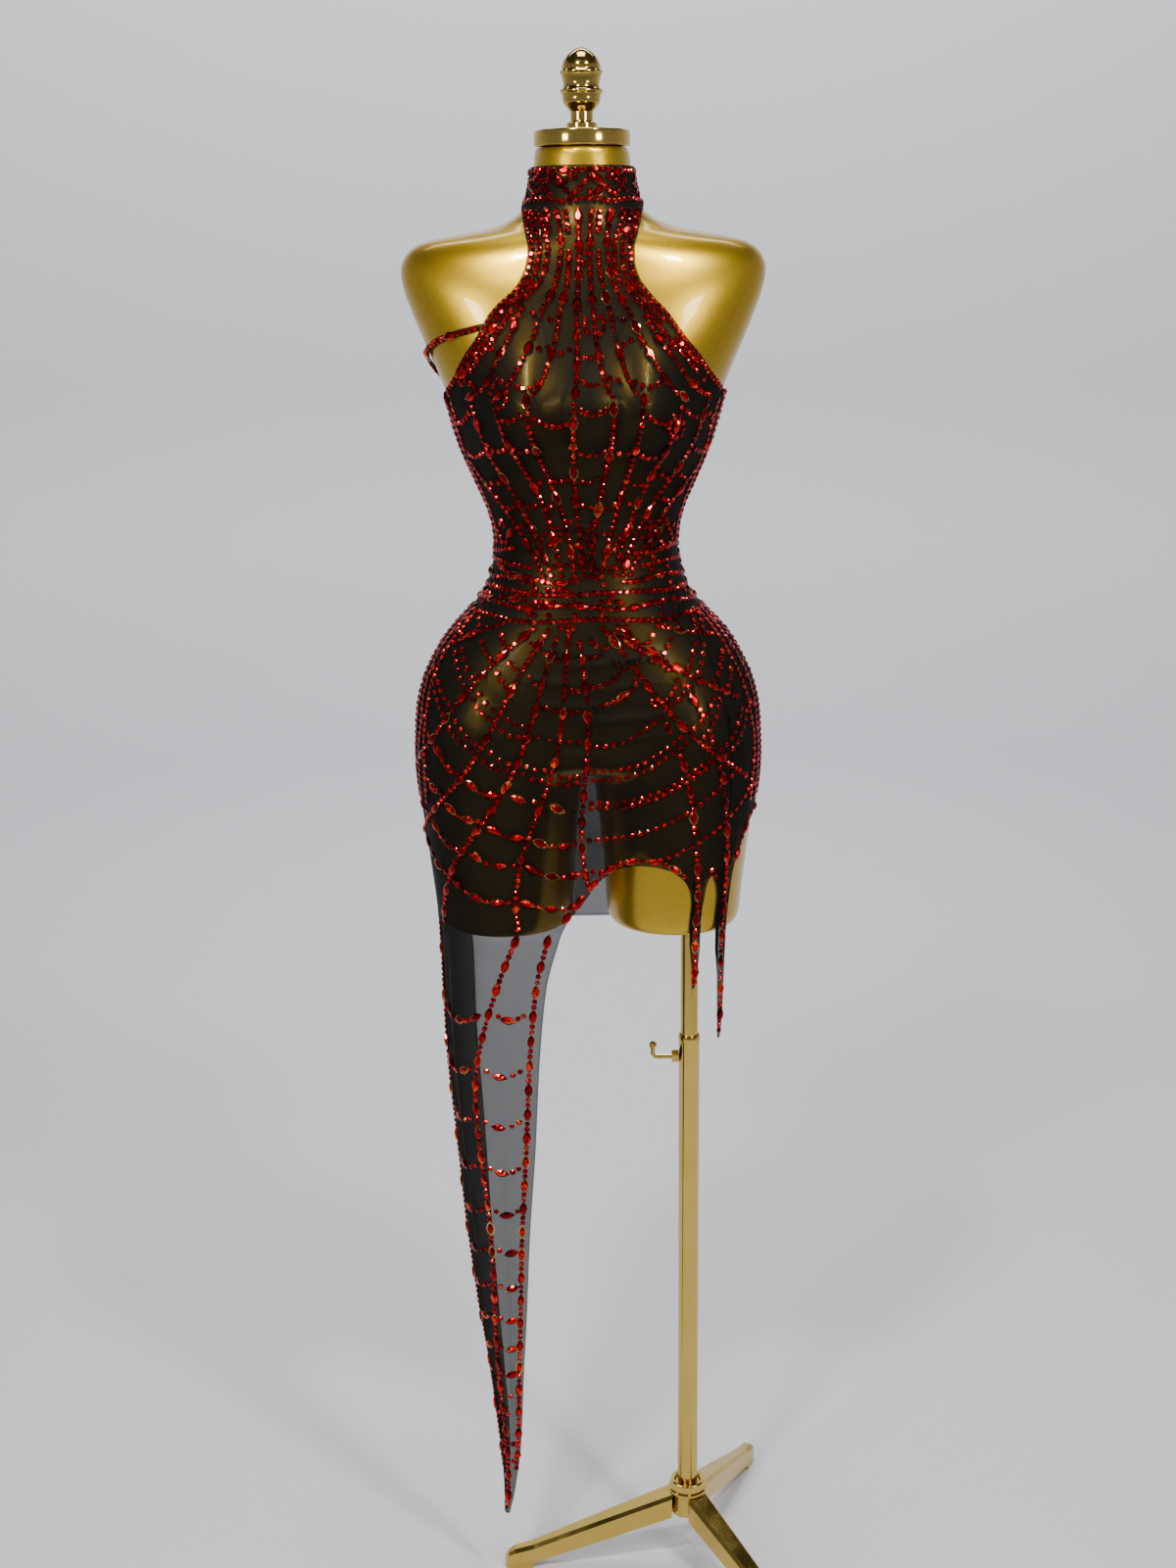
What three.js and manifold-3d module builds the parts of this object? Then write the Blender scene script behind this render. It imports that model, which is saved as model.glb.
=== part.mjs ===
// A sheer stage dress with a long side tail, on a limbless dress form that
// stands on a telescopic tripod stand. Millimetres, +Z up, the front faces -Y
// and +X is to a viewer's right. The body axis of the form is the line x = 0,
// y = 0 while the pieces are made, and the whole group is moved at the end so
// that the origin is the centre of the object's footprint, on the floor.
import * as THREE from "three";
import { mergeVertices } from "three/addons/utils/BufferGeometryUtils.js";
import Module from "manifold-3d";

const wasm = await Module();
wasm.setup();

// Cloth
const CLOTH = 1.0;
const CLOTH_CLEARANCE = 2.2;
const SEAM_GAP = 0.3;
const STRAP_GAP = 0.8;
const STRAP_WIDTH = 8;
const NECK_TOP = 1692;
const NECK_SIDE = 1652;
const UNDERARM = 1460;
const TAIL_TOP = 868;
const LOWEST_SECTION = 872;

// Dress form
const CROTCH = 1040;
const STUB_BOTTOM = 862;
const STUB_JOIN = 1165;
const FORM_TOP = 1712;
const BUST_HEIGHT = 1440;
const BUST_X = 63;
const BUST_DEPTH = 34;
const BUST_WIDTH = 46;
const BUST_ABOVE = 56;
const BUST_BELOW = 42;
const FORM_COLUMNS = 34;
const STUB_COLUMNS = 24;

// Neck plate and finial
const PLATE_RADIUS = 51;
const PLATE_THICKNESS = 16.5;
const FINIAL_SIDES = 18;
const FIT = 0.3;

// Stand
const POLE_X = 116;
const ROUND = 24;
const LOWER_RADIUS = 12.5;
const UPPER_RADIUS = 10.25;
const BORE_RADIUS = 10.9;
const LOWER_BOTTOM = 74;
const LOWER_TOP = 712;
const LOWER_BORE_END = 318;
const UPPER_BOTTOM = 392;
const UPPER_TOP = 1000;
const HUB_BOTTOM = 66;
const HUB_TOP = 111;
const HUB_RADIUS = 21.5;
const SCREW_HEIGHT = 684;
const SCREW_RADIUS = 2.7;
const SCREW_REACH = 43;
const KNOB_HEIGHT = 699;
const KNOB_RADIUS = 4.8;
const NUT_THICKNESS = 8;
const NUT_RADIUS = 8;
const LEG_AZIMUTHS = [184.8, 64.8, -55.2];

// Torso sections: half width, depth in front of and behind the body axis, and
// the power of the rounded outline (2 is an ellipse, more is squarer).
const torsoSections = [
  { z: 1712, half: 50, front: 50, back: 50, power: 2.0 },
  { z: 1692, half: 51.5, front: 51, back: 52, power: 2.0 },
  { z: 1672, half: 54, front: 53, back: 56, power: 2.0 },
  { z: 1656, half: 59, front: 56, back: 62, power: 2.0 },
  { z: 1646, half: 68, front: 59, back: 67, power: 1.9 },
  { z: 1638, half: 80, front: 62, back: 71, power: 1.75 },
  { z: 1630, half: 105, front: 65, back: 76, power: 1.55 },
  { z: 1624, half: 141, front: 68, back: 80, power: 1.55 },
  { z: 1616, half: 175, front: 71, back: 84, power: 1.7 },
  { z: 1604, half: 190, front: 75, back: 89, power: 1.9 },
  { z: 1588, half: 195.5, front: 79, back: 93, power: 2.05 },
  { z: 1568, half: 192, front: 84, back: 98, power: 2.15 },
  { z: 1545, half: 184, front: 88, back: 102, power: 2.2 },
  { z: 1520, half: 174, front: 92, back: 105, power: 2.2 },
  { z: 1490, half: 161, front: 94, back: 104, power: 2.2 },
  { z: 1462, half: 150, front: 94, back: 101, power: 2.2 },
  { z: 1440, half: 144, front: 92, back: 97, power: 2.15 },
  { z: 1412, half: 136, front: 90, back: 91, power: 2.1 },
  { z: 1384, half: 125, front: 86, back: 85, power: 2.05 },
  { z: 1357, half: 113, front: 83, back: 79, power: 2.0 },
  { z: 1335, half: 104, front: 81, back: 75, power: 2.0 },
  { z: 1314, half: 99, front: 80, back: 73, power: 2.0 },
  { z: 1294, half: 98, front: 80, back: 73, power: 2.0 },
  { z: 1274, half: 101, front: 82, back: 76, power: 2.0 },
  { z: 1254, half: 107, front: 86, back: 82, power: 2.0 },
  { z: 1236, half: 117, front: 90, back: 89, power: 2.05 },
  { z: 1214, half: 138, front: 95, back: 99, power: 2.1 },
  { z: 1192, half: 157, front: 99, back: 108, power: 2.15 },
  { z: 1170, half: 170, front: 102, back: 116, power: 2.2 },
  { z: 1143, half: 182, front: 105, back: 121, power: 2.2 },
  { z: 1113, half: 189, front: 106, back: 123, power: 2.2 },
  { z: 1080, half: 191.5, front: 104, back: 119, power: 2.2 },
  { z: 1056, half: 190.5, front: 98, back: 112, power: 2.15 },
  { z: CROTCH, half: 187, front: 91, back: 104, power: 2.1 },
];

// Thigh stub sections: where the inner and outer sides lie from the body axis.
const stubSections = [
  { z: STUB_JOIN, inner: 34, outer: 155, front: 80, back: 92, power: 2.1 },
  { z: 1122, inner: 14, outer: 181, front: 94, back: 110, power: 2.05 },
  { z: 1090, inner: 4, outer: 190, front: 98.5, back: 115, power: 2.05 },
  { z: 1065, inner: 2, outer: 192, front: 98, back: 113, power: 2.05 },
  { z: 1041, inner: 4, outer: 191.5, front: 96.5, back: 110, power: 2.05 },
  { z: 1020, inner: 7, outer: 189.5, front: 95, back: 108, power: 2.1 },
  { z: 988, inner: 11, outer: 186, front: 93, back: 103, power: 2.1 },
  { z: 959, inner: 14, outer: 182.5, front: 91, back: 98, power: 2.1 },
  { z: 929, inner: 16.5, outer: 179, front: 89, back: 94, power: 2.1 },
  { z: 898, inner: 18.5, outer: 175.5, front: 87, back: 90, power: 2.1 },
  { z: LOWEST_SECTION, inner: 20, outer: 173, front: 84.5, back: 87, power: 2.1 },
  { z: 865, inner: 22, outer: 171, front: 82.5, back: 85, power: 2.1 },
  { z: STUB_BOTTOM, inner: 26, outer: 167, front: 78.5, back: 81, power: 2.1 },
];

// Armhole edges, as x on the wearer's right (left of the view) and left.
const armholes = [
  { z: 1648, left: -62.5, right: 61.5 },
  { z: 1639, left: -61.5, right: 59.5 },
  { z: 1626, left: -60, right: 57 },
  { z: 1610, left: -57, right: 53 },
  { z: 1594, left: -59, right: 53 },
  { z: 1580, left: -64, right: 57 },
  { z: 1568, left: -72, right: 65 },
  { z: 1557, left: -85, right: 74 },
  { z: 1545, left: -97, right: 86 },
  { z: 1530, left: -106, right: 97 },
  { z: 1515, left: -115, right: 108 },
  { z: 1507, left: -121, right: 115 },
  { z: 1499, left: -126.5, right: 121.5 },
  { z: 1485, left: -134, right: 131 },
  { z: 1474, left: -140, right: 139 },
  { z: 1467, left: -145, right: 144.5 },
  { z: 1463, left: -148.5, right: 148 },
];
const neckRows = [NECK_TOP, 1681, 1670, 1659, NECK_SIDE];

// Front hem from the right edge of the tail to the wearer's left side. The
// two drips hang from the three columns that share a name.
const frontHem = [
  { x: -33, z: TAIL_TOP },
  { x: -20, z: 891 },
  { x: -4, z: 912 },
  { x: 14, z: 935 },
  { x: 36, z: 948 },
  { x: 54, z: 950 },
  { x: 71, z: 948.5 },
  { x: 87, z: 944 },
  { x: 103, z: 933 },
  { x: 114.5, z: 908, drip: "inner" },
  { x: 120, z: 908, drip: "inner" },
  { x: 125.5, z: 908, drip: "inner" },
  { x: 135, z: 935 },
  { x: 146, z: 908, drip: "outer" },
  { x: 150.5, z: 908, drip: "outer" },
  { x: 155, z: 908, drip: "outer" },
  { x: 165, z: 955 },
  { x: 176, z: 985 },
];
const SIDE_HEM = 1000;
const TAIL_COLUMNS = 9;
const SIDE_COLUMNS = 3;

// Back hem from the back edge of the tail to the wearer's left side.
const backHem = [
  { x: -143, z: TAIL_TOP },
  { x: -126, z: 845 },
  { x: -104, z: 836 },
  { x: -78, z: 833 },
  { x: -46, z: 831 },
  { x: -14, z: 831 },
  { x: 14, z: 831 },
  { x: 46, z: 833 },
  { x: 78, z: 838 },
  { x: 102, z: 847 },
  { x: 120, z: 858 },
  { x: 136, z: 875 },
  { x: 150, z: 898 },
  { x: 162, z: 928 },
  { x: 171, z: 955 },
];
const BACK_TAIL_COLUMNS = 4;
const PANEL_ROWS = 22;
const ROW_SPREAD = 1.2;

// Drips: left and right edge at each height, down to a slanted tip.
const drips = {
  inner: [
    { z: 884, left: 115, right: 125 },
    { z: 855, left: 114, right: 125 },
    { z: 826, left: 113.5, right: 123.5 },
    { z: 800, left: 116, right: 118 },
  ],
  outer: [
    { z: 884, left: 146, right: 154.5 },
    { z: 855, left: 146, right: 153.5 },
    { z: 826, left: 145, right: 153 },
    { z: 785, left: 143.5, right: 152 },
    { z: 752, left: 141, right: 150 },
    { z: 733, left: 140, right: 142 },
  ],
};

// The tail hangs as one fold. Each row places the fold at the wearer's right,
// the front layer's free edge, and the back layer's free edge from the fold.
const tailSections = [
  { z: TAIL_TOP, foldX: -173, foldY: 0, edgeX: -33, edgeY: -86, backX: 30, backY: 60 },
  { z: 804, foldX: -167, foldY: -4, edgeX: -50, edgeY: -84, backX: 29, backY: 50 },
  { z: 717, foldX: -164, foldY: -9, edgeX: -59, edgeY: -80, backX: 28, backY: 40 },
  { z: 602, foldX: -155, foldY: -16, edgeX: -66, edgeY: -74, backX: 26, backY: 32 },
  { z: 483, foldX: -145, foldY: -24, edgeX: -75, edgeY: -68, backX: 22, backY: 24 },
  { z: 388, foldX: -134, foldY: -30, edgeX: -80, edgeY: -64, backX: 17, backY: 18 },
  { z: 291, foldX: -122, foldY: -37, edgeX: -86, edgeY: -60, backX: 12, backY: 12 },
  { z: 202, foldX: -113, foldY: -43, edgeX: -91, edgeY: -57, backX: 8, backY: 8 },
  { z: 134, foldX: -110, foldY: -47, edgeX: -100, edgeY: -54, backX: 4, backY: 5 },
  { z: 102, foldX: -110, foldY: -50, edgeX: -107, edgeY: -52, backX: 2, backY: 2.5 },
];
const TAIL_ROWS = 16;

// Height of the arm strap along its way, from the front armhole round the
// outside of the shoulder to the back armhole.
const strapPath = [
  { along: 0, z: 1531 },
  { along: 0.2, z: 1519 },
  { along: 0.4, z: 1503 },
  { along: 0.5, z: 1493 },
  { along: 0.6, z: 1485 },
  { along: 0.8, z: 1478 },
  { along: 1, z: 1480 },
];
const STRAP_STEPS = 18;

// Leg sections outwards from the pole: width, underside and top.
const legSections = [
  { reach: HUB_RADIUS + FIT, width: 31, low: 65, top: 95 },
  { reach: 100, width: 25.5, low: 39, top: 67 },
  { reach: 196, width: 18.5, low: 8, top: 32 },
  { reach: 198, width: 18.3, low: 0, top: 31.4 },
  { reach: 220, width: 16.8, low: 0, top: 26 },
  { reach: 228, width: 13.5, low: 0, top: 21 },
  { reach: 232, width: 8, low: 2, top: 15 },
];

// Reads a table between its rows, with slopes that never overshoot a row.
function readTable(rows, key, at) {
  const names = Object.keys(rows[0]).filter((name) => name !== key);
  const down = rows[rows.length - 1][key] < rows[0][key];
  const order = down ? [...rows].reverse() : rows;
  const t = Math.min(Math.max(at, order[0][key]), order[order.length - 1][key]);
  let i = 0;
  while (i < order.length - 2 && t > order[i + 1][key]) i += 1;
  const slope = (k, name) => {
    const step = order[k + 1][key] - order[k][key];
    return (order[k + 1][name] - order[k][name]) / step;
  };
  const tangent = (k, name) => {
    if (k === 0) return slope(0, name);
    if (k === order.length - 1) return slope(k - 1, name);
    const before = slope(k - 1, name);
    const after = slope(k, name);
    return before * after <= 0 ? 0 : (2 * before * after) / (before + after);
  };
  const span = order[i + 1][key] - order[i][key];
  const f = (t - order[i][key]) / span;
  const out = { [key]: at };
  for (const name of names) {
    const h00 = (1 + 2 * f) * (1 - f) * (1 - f);
    const h10 = f * (1 - f) * (1 - f);
    const h01 = f * f * (3 - 2 * f);
    const h11 = f * f * (f - 1);
    out[name] =
      h00 * order[i][name] +
      h10 * span * tangent(i, name) +
      h01 * order[i + 1][name] +
      h11 * span * tangent(i + 1, name);
  }
  return out;
}

// How far the bust stands out in front of the torso section.
function bustAt(x, z) {
  const reach = z > BUST_HEIGHT ? BUST_ABOVE : BUST_BELOW;
  const height = Math.exp(-(((z - BUST_HEIGHT) / reach) ** 2));
  const side = (centre) => Math.exp(-(((x - centre) / BUST_WIDTH) ** 2));
  return BUST_DEPTH * height * (side(-BUST_X) + side(BUST_X));
}

// A closed outline of rounded-rectangle kind, anticlockwise from its right.
function roundedOutline(centre, half, section, count) {
  const points = [];
  for (let i = 0; i < count; i += 1) {
    const angle = (i / count) * 2 * Math.PI;
    const c = Math.cos(angle);
    const s = Math.sin(angle);
    const power = 2 / section.power;
    const x = centre + half * Math.sign(c) * Math.abs(c) ** power;
    const depth = s < 0 ? section.front : section.back;
    const clean = Math.abs(s) < 1e-9 ? 0 : s;
    points.push([x, depth * Math.sign(clean) * Math.abs(clean) ** power]);
  }
  return points;
}

function torsoOutline(z, count) {
  const section = readTable(torsoSections, "z", z);
  const points = roundedOutline(0, section.half, section, count);
  return points.map(([x, y]) => {
    const share = Math.min(1, Math.max(0, -y / (0.5 * section.front)));
    return [x, y - bustAt(x, z) * share];
  });
}

function stubOutline(z, side, count) {
  const section = readTable(stubSections, "z", z);
  const centre = (side * (section.inner + section.outer)) / 2;
  return roundedOutline(centre, (section.outer - section.inner) / 2, section, count);
}

// Stretched cloth bridges hollows, so its section is the convex outline of the
// form's sections at that height: the lower half of it in front, the upper
// half behind, each from the wearer's right side to the left side.
const archCache = new Map();
function clothArch(z, back) {
  const at = Math.max(z, LOWEST_SECTION);
  const name = at.toFixed(3) + back;
  if (archCache.has(name)) return archCache.get(name);
  const fine = 160;
  let points = [];
  if (at >= CROTCH) points = points.concat(torsoOutline(at, fine));
  if (at <= STUB_JOIN) points = points.concat(stubOutline(at, -1, fine), stubOutline(at, 1, fine));
  const sign = back ? -1 : 1;
  const half = points.filter(([, y]) => sign * y <= 1e-6).sort((a, b) => a[0] - b[0] || sign * (b[1] - a[1]));
  const hull = [];
  for (const p of half) {
    while (hull.length > 1) {
      const [ax, ay] = hull[hull.length - 2];
      const [bx, by] = hull[hull.length - 1];
      const turn = (bx - ax) * (p[1] - ay) - (by - ay) * (p[0] - ax);
      if (sign * turn > 0) break;
      hull.pop();
    }
    hull.push(p);
  }
  const lengths = [0];
  for (let i = 1; i < hull.length; i += 1) {
    lengths.push(lengths[i - 1] + Math.hypot(hull[i][0] - hull[i - 1][0], hull[i][1] - hull[i - 1][1]));
  }
  const arch = { hull, lengths, total: lengths[lengths.length - 1] };
  archCache.set(name, arch);
  return arch;
}

// The point a given length along an arch, from the wearer's right side.
function alongArch(z, back, length) {
  const { hull, lengths } = clothArch(z, back);
  let i = 1;
  while (i < lengths.length - 1 && lengths[i] < length) i += 1;
  const f = (length - lengths[i - 1]) / (lengths[i] - lengths[i - 1]);
  const x = hull[i - 1][0] + (hull[i][0] - hull[i - 1][0]) * f;
  const y = hull[i - 1][1] + (hull[i][1] - hull[i - 1][1]) * f;
  return new THREE.Vector3(x, y, z);
}

// The length along an arch at which it passes a given x.
function lengthAtX(z, back, x) {
  const { hull, lengths, total } = clothArch(z, back);
  for (let i = 1; i < hull.length; i += 1) {
    if (hull[i][0] >= x) {
      const f = (x - hull[i - 1][0]) / (hull[i][0] - hull[i - 1][0] || 1);
      return lengths[i - 1] + (lengths[i] - lengths[i - 1]) * Math.max(0, f);
    }
  }
  return total;
}

// An open sheet of four-sided faces, thickened to a closed wall that lies
// between two distances outside the sheet's own surface.
class Sheet {
  constructor() {
    this.points = [];
    this.names = new Map();
    this.faces = [];
  }

  point(name, position) {
    if (!this.names.has(name)) {
      this.names.set(name, this.points.length);
      this.points.push(position);
    }
    return this.names.get(name);
  }

  face(a, b, c, d, flip) {
    const corners = [a, b, c, d].map((name) => this.names.get(name));
    this.faces.push(flip ? corners.reverse() : corners);
  }

  wall(inner, outer) {
    const normals = this.points.map(() => new THREE.Vector3());
    const first = new THREE.Vector3();
    const second = new THREE.Vector3();
    for (const [a, b, c, d] of this.faces) {
      first.subVectors(this.points[c], this.points[a]);
      second.subVectors(this.points[d], this.points[b]);
      const normal = first.clone().cross(second);
      for (const corner of [a, b, c, d]) normals[corner].add(normal);
    }
    const position = [];
    const count = this.points.length;
    for (const distance of [outer, inner]) {
      this.points.forEach((p, i) => {
        const moved = p.clone().addScaledVector(normals[i].clone().normalize(), distance);
        position.push(moved.x, moved.y, moved.z);
      });
    }
    const index = [];
    const edges = new Set();
    for (const face of this.faces) {
      face.forEach((a, i) => edges.add(a + ">" + face[(i + 1) % 4]));
    }
    for (const [a, b, c, d] of this.faces) {
      index.push(a, b, c, a, c, d);
      index.push(a + count, c + count, b + count, a + count, d + count, c + count);
      for (const [p, q] of [[a, b], [b, c], [c, d], [d, a]]) {
        if (edges.has(q + ">" + p)) continue;
        index.push(q, p, p + count, q, p + count, q + count);
      }
    }
    const geometry = new THREE.BufferGeometry();
    geometry.setAttribute("position", new THREE.Float32BufferAttribute(position, 3));
    geometry.setIndex(index);
    return geometry;
  }
}

// One body panel. Its columns are shares of the arch's length. Neck and
// armhole rows are level, and below the underarm each column runs in even
// steps to its own hem height.
function bodyPanel(back, columns, hemHeights) {
  const sheet = new Sheet();
  const last = columns.length - 1;
  const seamed = (z, share, low, high) => {
    const total = clothArch(z, back).total;
    const start = Math.max(low, SEAM_GAP / 2);
    const end = Math.min(high, total - SEAM_GAP / 2);
    return alongArch(z, back, start + (end - start) * share);
  };
  const rows = [];
  for (const z of neckRows) rows.push({ z, low: 0, high: Infinity });
  for (const hole of armholes) {
    rows.push({
      z: hole.z,
      low: lengthAtX(hole.z, back, hole.left),
      high: lengthAtX(hole.z, back, hole.right),
    });
  }
  rows.push({ z: UNDERARM, low: 0, high: Infinity });
  rows.forEach((row, r) => {
    columns.forEach((share, c) => {
      sheet.point(c + "," + r, seamed(row.z, share, row.low, row.high));
    });
  });
  const top = rows.length - 1;
  for (let r = 1; r <= PANEL_ROWS; r += 1) {
    columns.forEach((share, c) => {
      const z = UNDERARM + (hemHeights[c] - UNDERARM) * (r / PANEL_ROWS) ** ROW_SPREAD;
      sheet.point(c + "," + (top + r), seamed(z, share, 0, Infinity));
    });
  }
  for (let r = 0; r < top + PANEL_ROWS; r += 1) {
    for (let c = 0; c < last; c += 1) {
      const r2 = r + 1;
      const c2 = c + 1;
      sheet.face(c + "," + r, c + "," + r2, c2 + "," + r2, c2 + "," + r, back);
    }
  }
  return { sheet, bottom: top + PANEL_ROWS };
}

// The tail's stretch of a panel, below its first columns: each row is the
// top row's own curve, drawn in between the fold and the free edge.
function addTail(sheet, bottom, count, back) {
  const topRow = [];
  for (let c = 0; c <= count; c += 1) topRow.push(sheet.points[sheet.names.get(c + "," + bottom)]);
  const fold = topRow[0];
  const edge = topRow[count];
  for (let r = 1; r <= TAIL_ROWS; r += 1) {
    const lowest = tailSections[tailSections.length - 1].z;
    const z = TAIL_TOP + ((lowest - TAIL_TOP) * r) / TAIL_ROWS;
    const row = readTable(tailSections, "z", z);
    const edgeX = back ? row.foldX + row.backX : row.edgeX;
    const edgeY = back ? row.foldY + row.backY : row.edgeY;
    const seam = back ? SEAM_GAP / 2 : -SEAM_GAP / 2;
    topRow.forEach((p, c) => {
      const shareX = (p.x - fold.x) / (edge.x - fold.x);
      const shareY = (p.y - fold.y) / (edge.y - fold.y);
      const x = row.foldX + (edgeX - row.foldX) * shareX;
      const y = row.foldY + seam + (edgeY - row.foldY) * shareY;
      sheet.point(c + "," + (bottom + r), new THREE.Vector3(x, y, z));
    });
    for (let c = 0; c < count; c += 1) {
      const r1 = bottom + r - 1;
      const r2 = bottom + r;
      const c2 = c + 1;
      sheet.face(c + "," + r1, c + "," + r2, c2 + "," + r2, c2 + "," + r1, back);
    }
  }
}

// A drip hangs straight down from three neighbouring hem columns.
function addDrip(sheet, bottom, firstColumn, edges) {
  edges.forEach((edge, i) => {
    for (let k = 0; k < 3; k += 1) {
      const c = firstColumn + k;
      const hem = sheet.points[sheet.names.get(c + "," + bottom)];
      const x = edge.left + ((edge.right - edge.left) * k) / 2;
      sheet.point(c + "," + (bottom + 1 + i), new THREE.Vector3(x, hem.y, edge.z));
    }
    for (let k = 0; k < 2; k += 1) {
      const c = firstColumn + k;
      const r1 = bottom + i;
      const r2 = bottom + 1 + i;
      const c2 = c + 1;
      sheet.face(c + "," + r1, c + "," + r2, c2 + "," + r2, c2 + "," + r1, false);
    }
  });
}

// Columns of a panel: even ones across the tail, one for each hem point, and
// even ones again round to the wearer's left side.
function hemColumns(hem, tailColumns, back) {
  const shareOf = ({ x, z }) => lengthAtX(z, back, x) / clothArch(z, back).total;
  const tailShare = shareOf(hem[0]);
  const columns = [];
  const heights = [];
  for (let c = 0; c < tailColumns; c += 1) {
    columns.push((tailShare * c) / tailColumns);
    heights.push(TAIL_TOP);
  }
  for (const point of hem) {
    columns.push(shareOf(point));
    heights.push(point.z);
  }
  const lastShare = columns[columns.length - 1];
  const lastHeight = heights[heights.length - 1];
  for (let c = 1; c <= SIDE_COLUMNS; c += 1) {
    columns.push(lastShare + ((1 - lastShare) * c) / SIDE_COLUMNS);
    heights.push(lastHeight + ((SIDE_HEM - lastHeight) * c) / SIDE_COLUMNS);
  }
  return { columns, heights };
}

function frontPanel() {
  const { columns, heights } = hemColumns(frontHem, TAIL_COLUMNS, false);
  const { sheet, bottom } = bodyPanel(false, columns, heights);
  addTail(sheet, bottom, TAIL_COLUMNS, false);
  for (const [name, edges] of Object.entries(drips)) {
    const first = TAIL_COLUMNS + frontHem.findIndex((point) => point.drip === name);
    addDrip(sheet, bottom, first, edges);
  }
  return sheet.wall(CLOTH_CLEARANCE, CLOTH_CLEARANCE + CLOTH);
}

function backPanel() {
  const { columns, heights } = hemColumns(backHem, BACK_TAIL_COLUMNS, true);
  const { sheet, bottom } = bodyPanel(true, columns, heights);
  addTail(sheet, bottom, BACK_TAIL_COLUMNS, true);
  return sheet.wall(CLOTH_CLEARANCE, CLOTH_CLEARANCE + CLOTH);
}

// The strap lies on the same surface, round the outside of the shoulder.
function armStrap() {
  const sheet = new Sheet();
  const armholeEdge = (z, back) => {
    const x = readTable(armholes, "z", z).left;
    return lengthAtX(z, back, x) - STRAP_GAP;
  };
  for (let i = 0; i <= STRAP_STEPS; i += 1) {
    const along = i / STRAP_STEPS;
    const centre = readTable(strapPath, "along", along).z;
    for (let k = 0; k < 3; k += 1) {
      const z = centre + STRAP_WIDTH * (0.5 - k / 2);
      const length = armholeEdge(z, false) * (1 - along) - armholeEdge(z, true) * along;
      sheet.point(i + "," + k, alongArch(z, length < 0, Math.abs(length)));
    }
  }
  for (let i = 0; i < STRAP_STEPS; i += 1) {
    for (let k = 0; k < 2; k += 1) {
      const next = i + 1;
      const low = k + 1;
      sheet.face(i + "," + k, next + "," + k, next + "," + low, i + "," + low, false);
    }
  }
  return sheet.wall(CLOTH_CLEARANCE, CLOTH_CLEARANCE + CLOTH);
}

// A closed solid through outlines of the same number of points, from the
// lowest to the highest, with flat ends.
function loft(outlines) {
  const count = outlines[0].length;
  const position = outlines.flat(2);
  const index = [];
  for (let r = 0; r < outlines.length - 1; r += 1) {
    for (let i = 0; i < count; i += 1) {
      const a = r * count + i;
      const b = r * count + ((i + 1) % count);
      index.push(a, b, b + count, a, b + count, a + count);
    }
  }
  const ends = [
    { outline: outlines[0], start: 0, up: false },
    { outline: outlines[outlines.length - 1], start: (outlines.length - 1) * count, up: true },
  ];
  for (const { outline, start, up } of ends) {
    const centre = position.length / 3;
    for (const axis of [0, 1, 2]) {
      position.push(outline.reduce((sum, p) => sum + p[axis], 0) / count);
    }
    for (let i = 0; i < count; i += 1) {
      const a = start + i;
      const b = start + ((i + 1) % count);
      index.push(centre, up ? a : b, up ? b : a);
    }
  }
  const geometry = new THREE.BufferGeometry();
  geometry.setAttribute("position", new THREE.Float32BufferAttribute(position, 3));
  geometry.setIndex(index);
  return geometry;
}

function solid(geometry) {
  const plain = geometry.clone();
  for (const name of ["normal", "uv"]) plain.deleteAttribute(name);
  const merged = mergeVertices(plain, 1e-3);
  return new wasm.Manifold(
    new wasm.Mesh({
      numProp: 3,
      vertProperties: merged.attributes.position.array,
      triVerts: new Uint32Array(merged.index.array),
    }),
  );
}

function toGeometry(made) {
  const mesh = made.getMesh();
  const geometry = new THREE.BufferGeometry();
  geometry.setAttribute("position", new THREE.BufferAttribute(mesh.vertProperties, 3));
  geometry.setIndex(new THREE.BufferAttribute(mesh.triVerts, 1));
  return geometry;
}

// A turned piece: radius and height pairs, closed on the axis or on itself.
function turned(profile, segments) {
  const points = profile.map(([radius, z]) => new THREE.Vector2(radius, z));
  const geometry = new THREE.LatheGeometry(points, segments);
  return geometry.rotateX(Math.PI / 2);
}

function rod(radius, low, high) {
  return turned([[0, low], [radius, low], [radius, high], [0, high]], ROUND);
}

// Heights at which the torso and stubs get a ring: the table's own rows, and
// one half way where two rows are far apart.
function ringHeights(rows, widest) {
  const heights = [];
  rows.forEach((row, i) => {
    heights.push(row.z);
    const next = rows[i + 1];
    if (next && row.z - next.z > widest) heights.push((row.z + next.z) / 2);
  });
  return heights.reverse();
}

// The form's torso and two thigh stubs in one piece, bored for the pole.
function dressForm() {
  const ring = (outline, z) => outline.map(([x, y]) => [x, y, z]);
  const torso = ringHeights(torsoSections, 30).map((z) => ring(torsoOutline(z, FORM_COLUMNS), z));
  const stub = (side) =>
    ringHeights(stubSections, 60).map((z) => ring(stubOutline(z, side, STUB_COLUMNS), z));
  const bore = rod(BORE_RADIUS, STUB_BOTTOM - 10, UPPER_TOP + FIT).translate(POLE_X, 0, 0);
  const whole = solid(loft(torso)).add(solid(loft(stub(-1)))).add(solid(loft(stub(1))));
  return toGeometry(whole.subtract(solid(bore)));
}

function neckPlate() {
  const low = FORM_TOP + FIT;
  const high = low + PLATE_THICKNESS;
  const bevel = 1.5;
  return turned(
    [
      [0, low],
      [PLATE_RADIUS - bevel, low],
      [PLATE_RADIUS, low + bevel],
      [PLATE_RADIUS, high - bevel],
      [PLATE_RADIUS - bevel, high],
      [0, high],
    ],
    36,
  );
}

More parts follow.
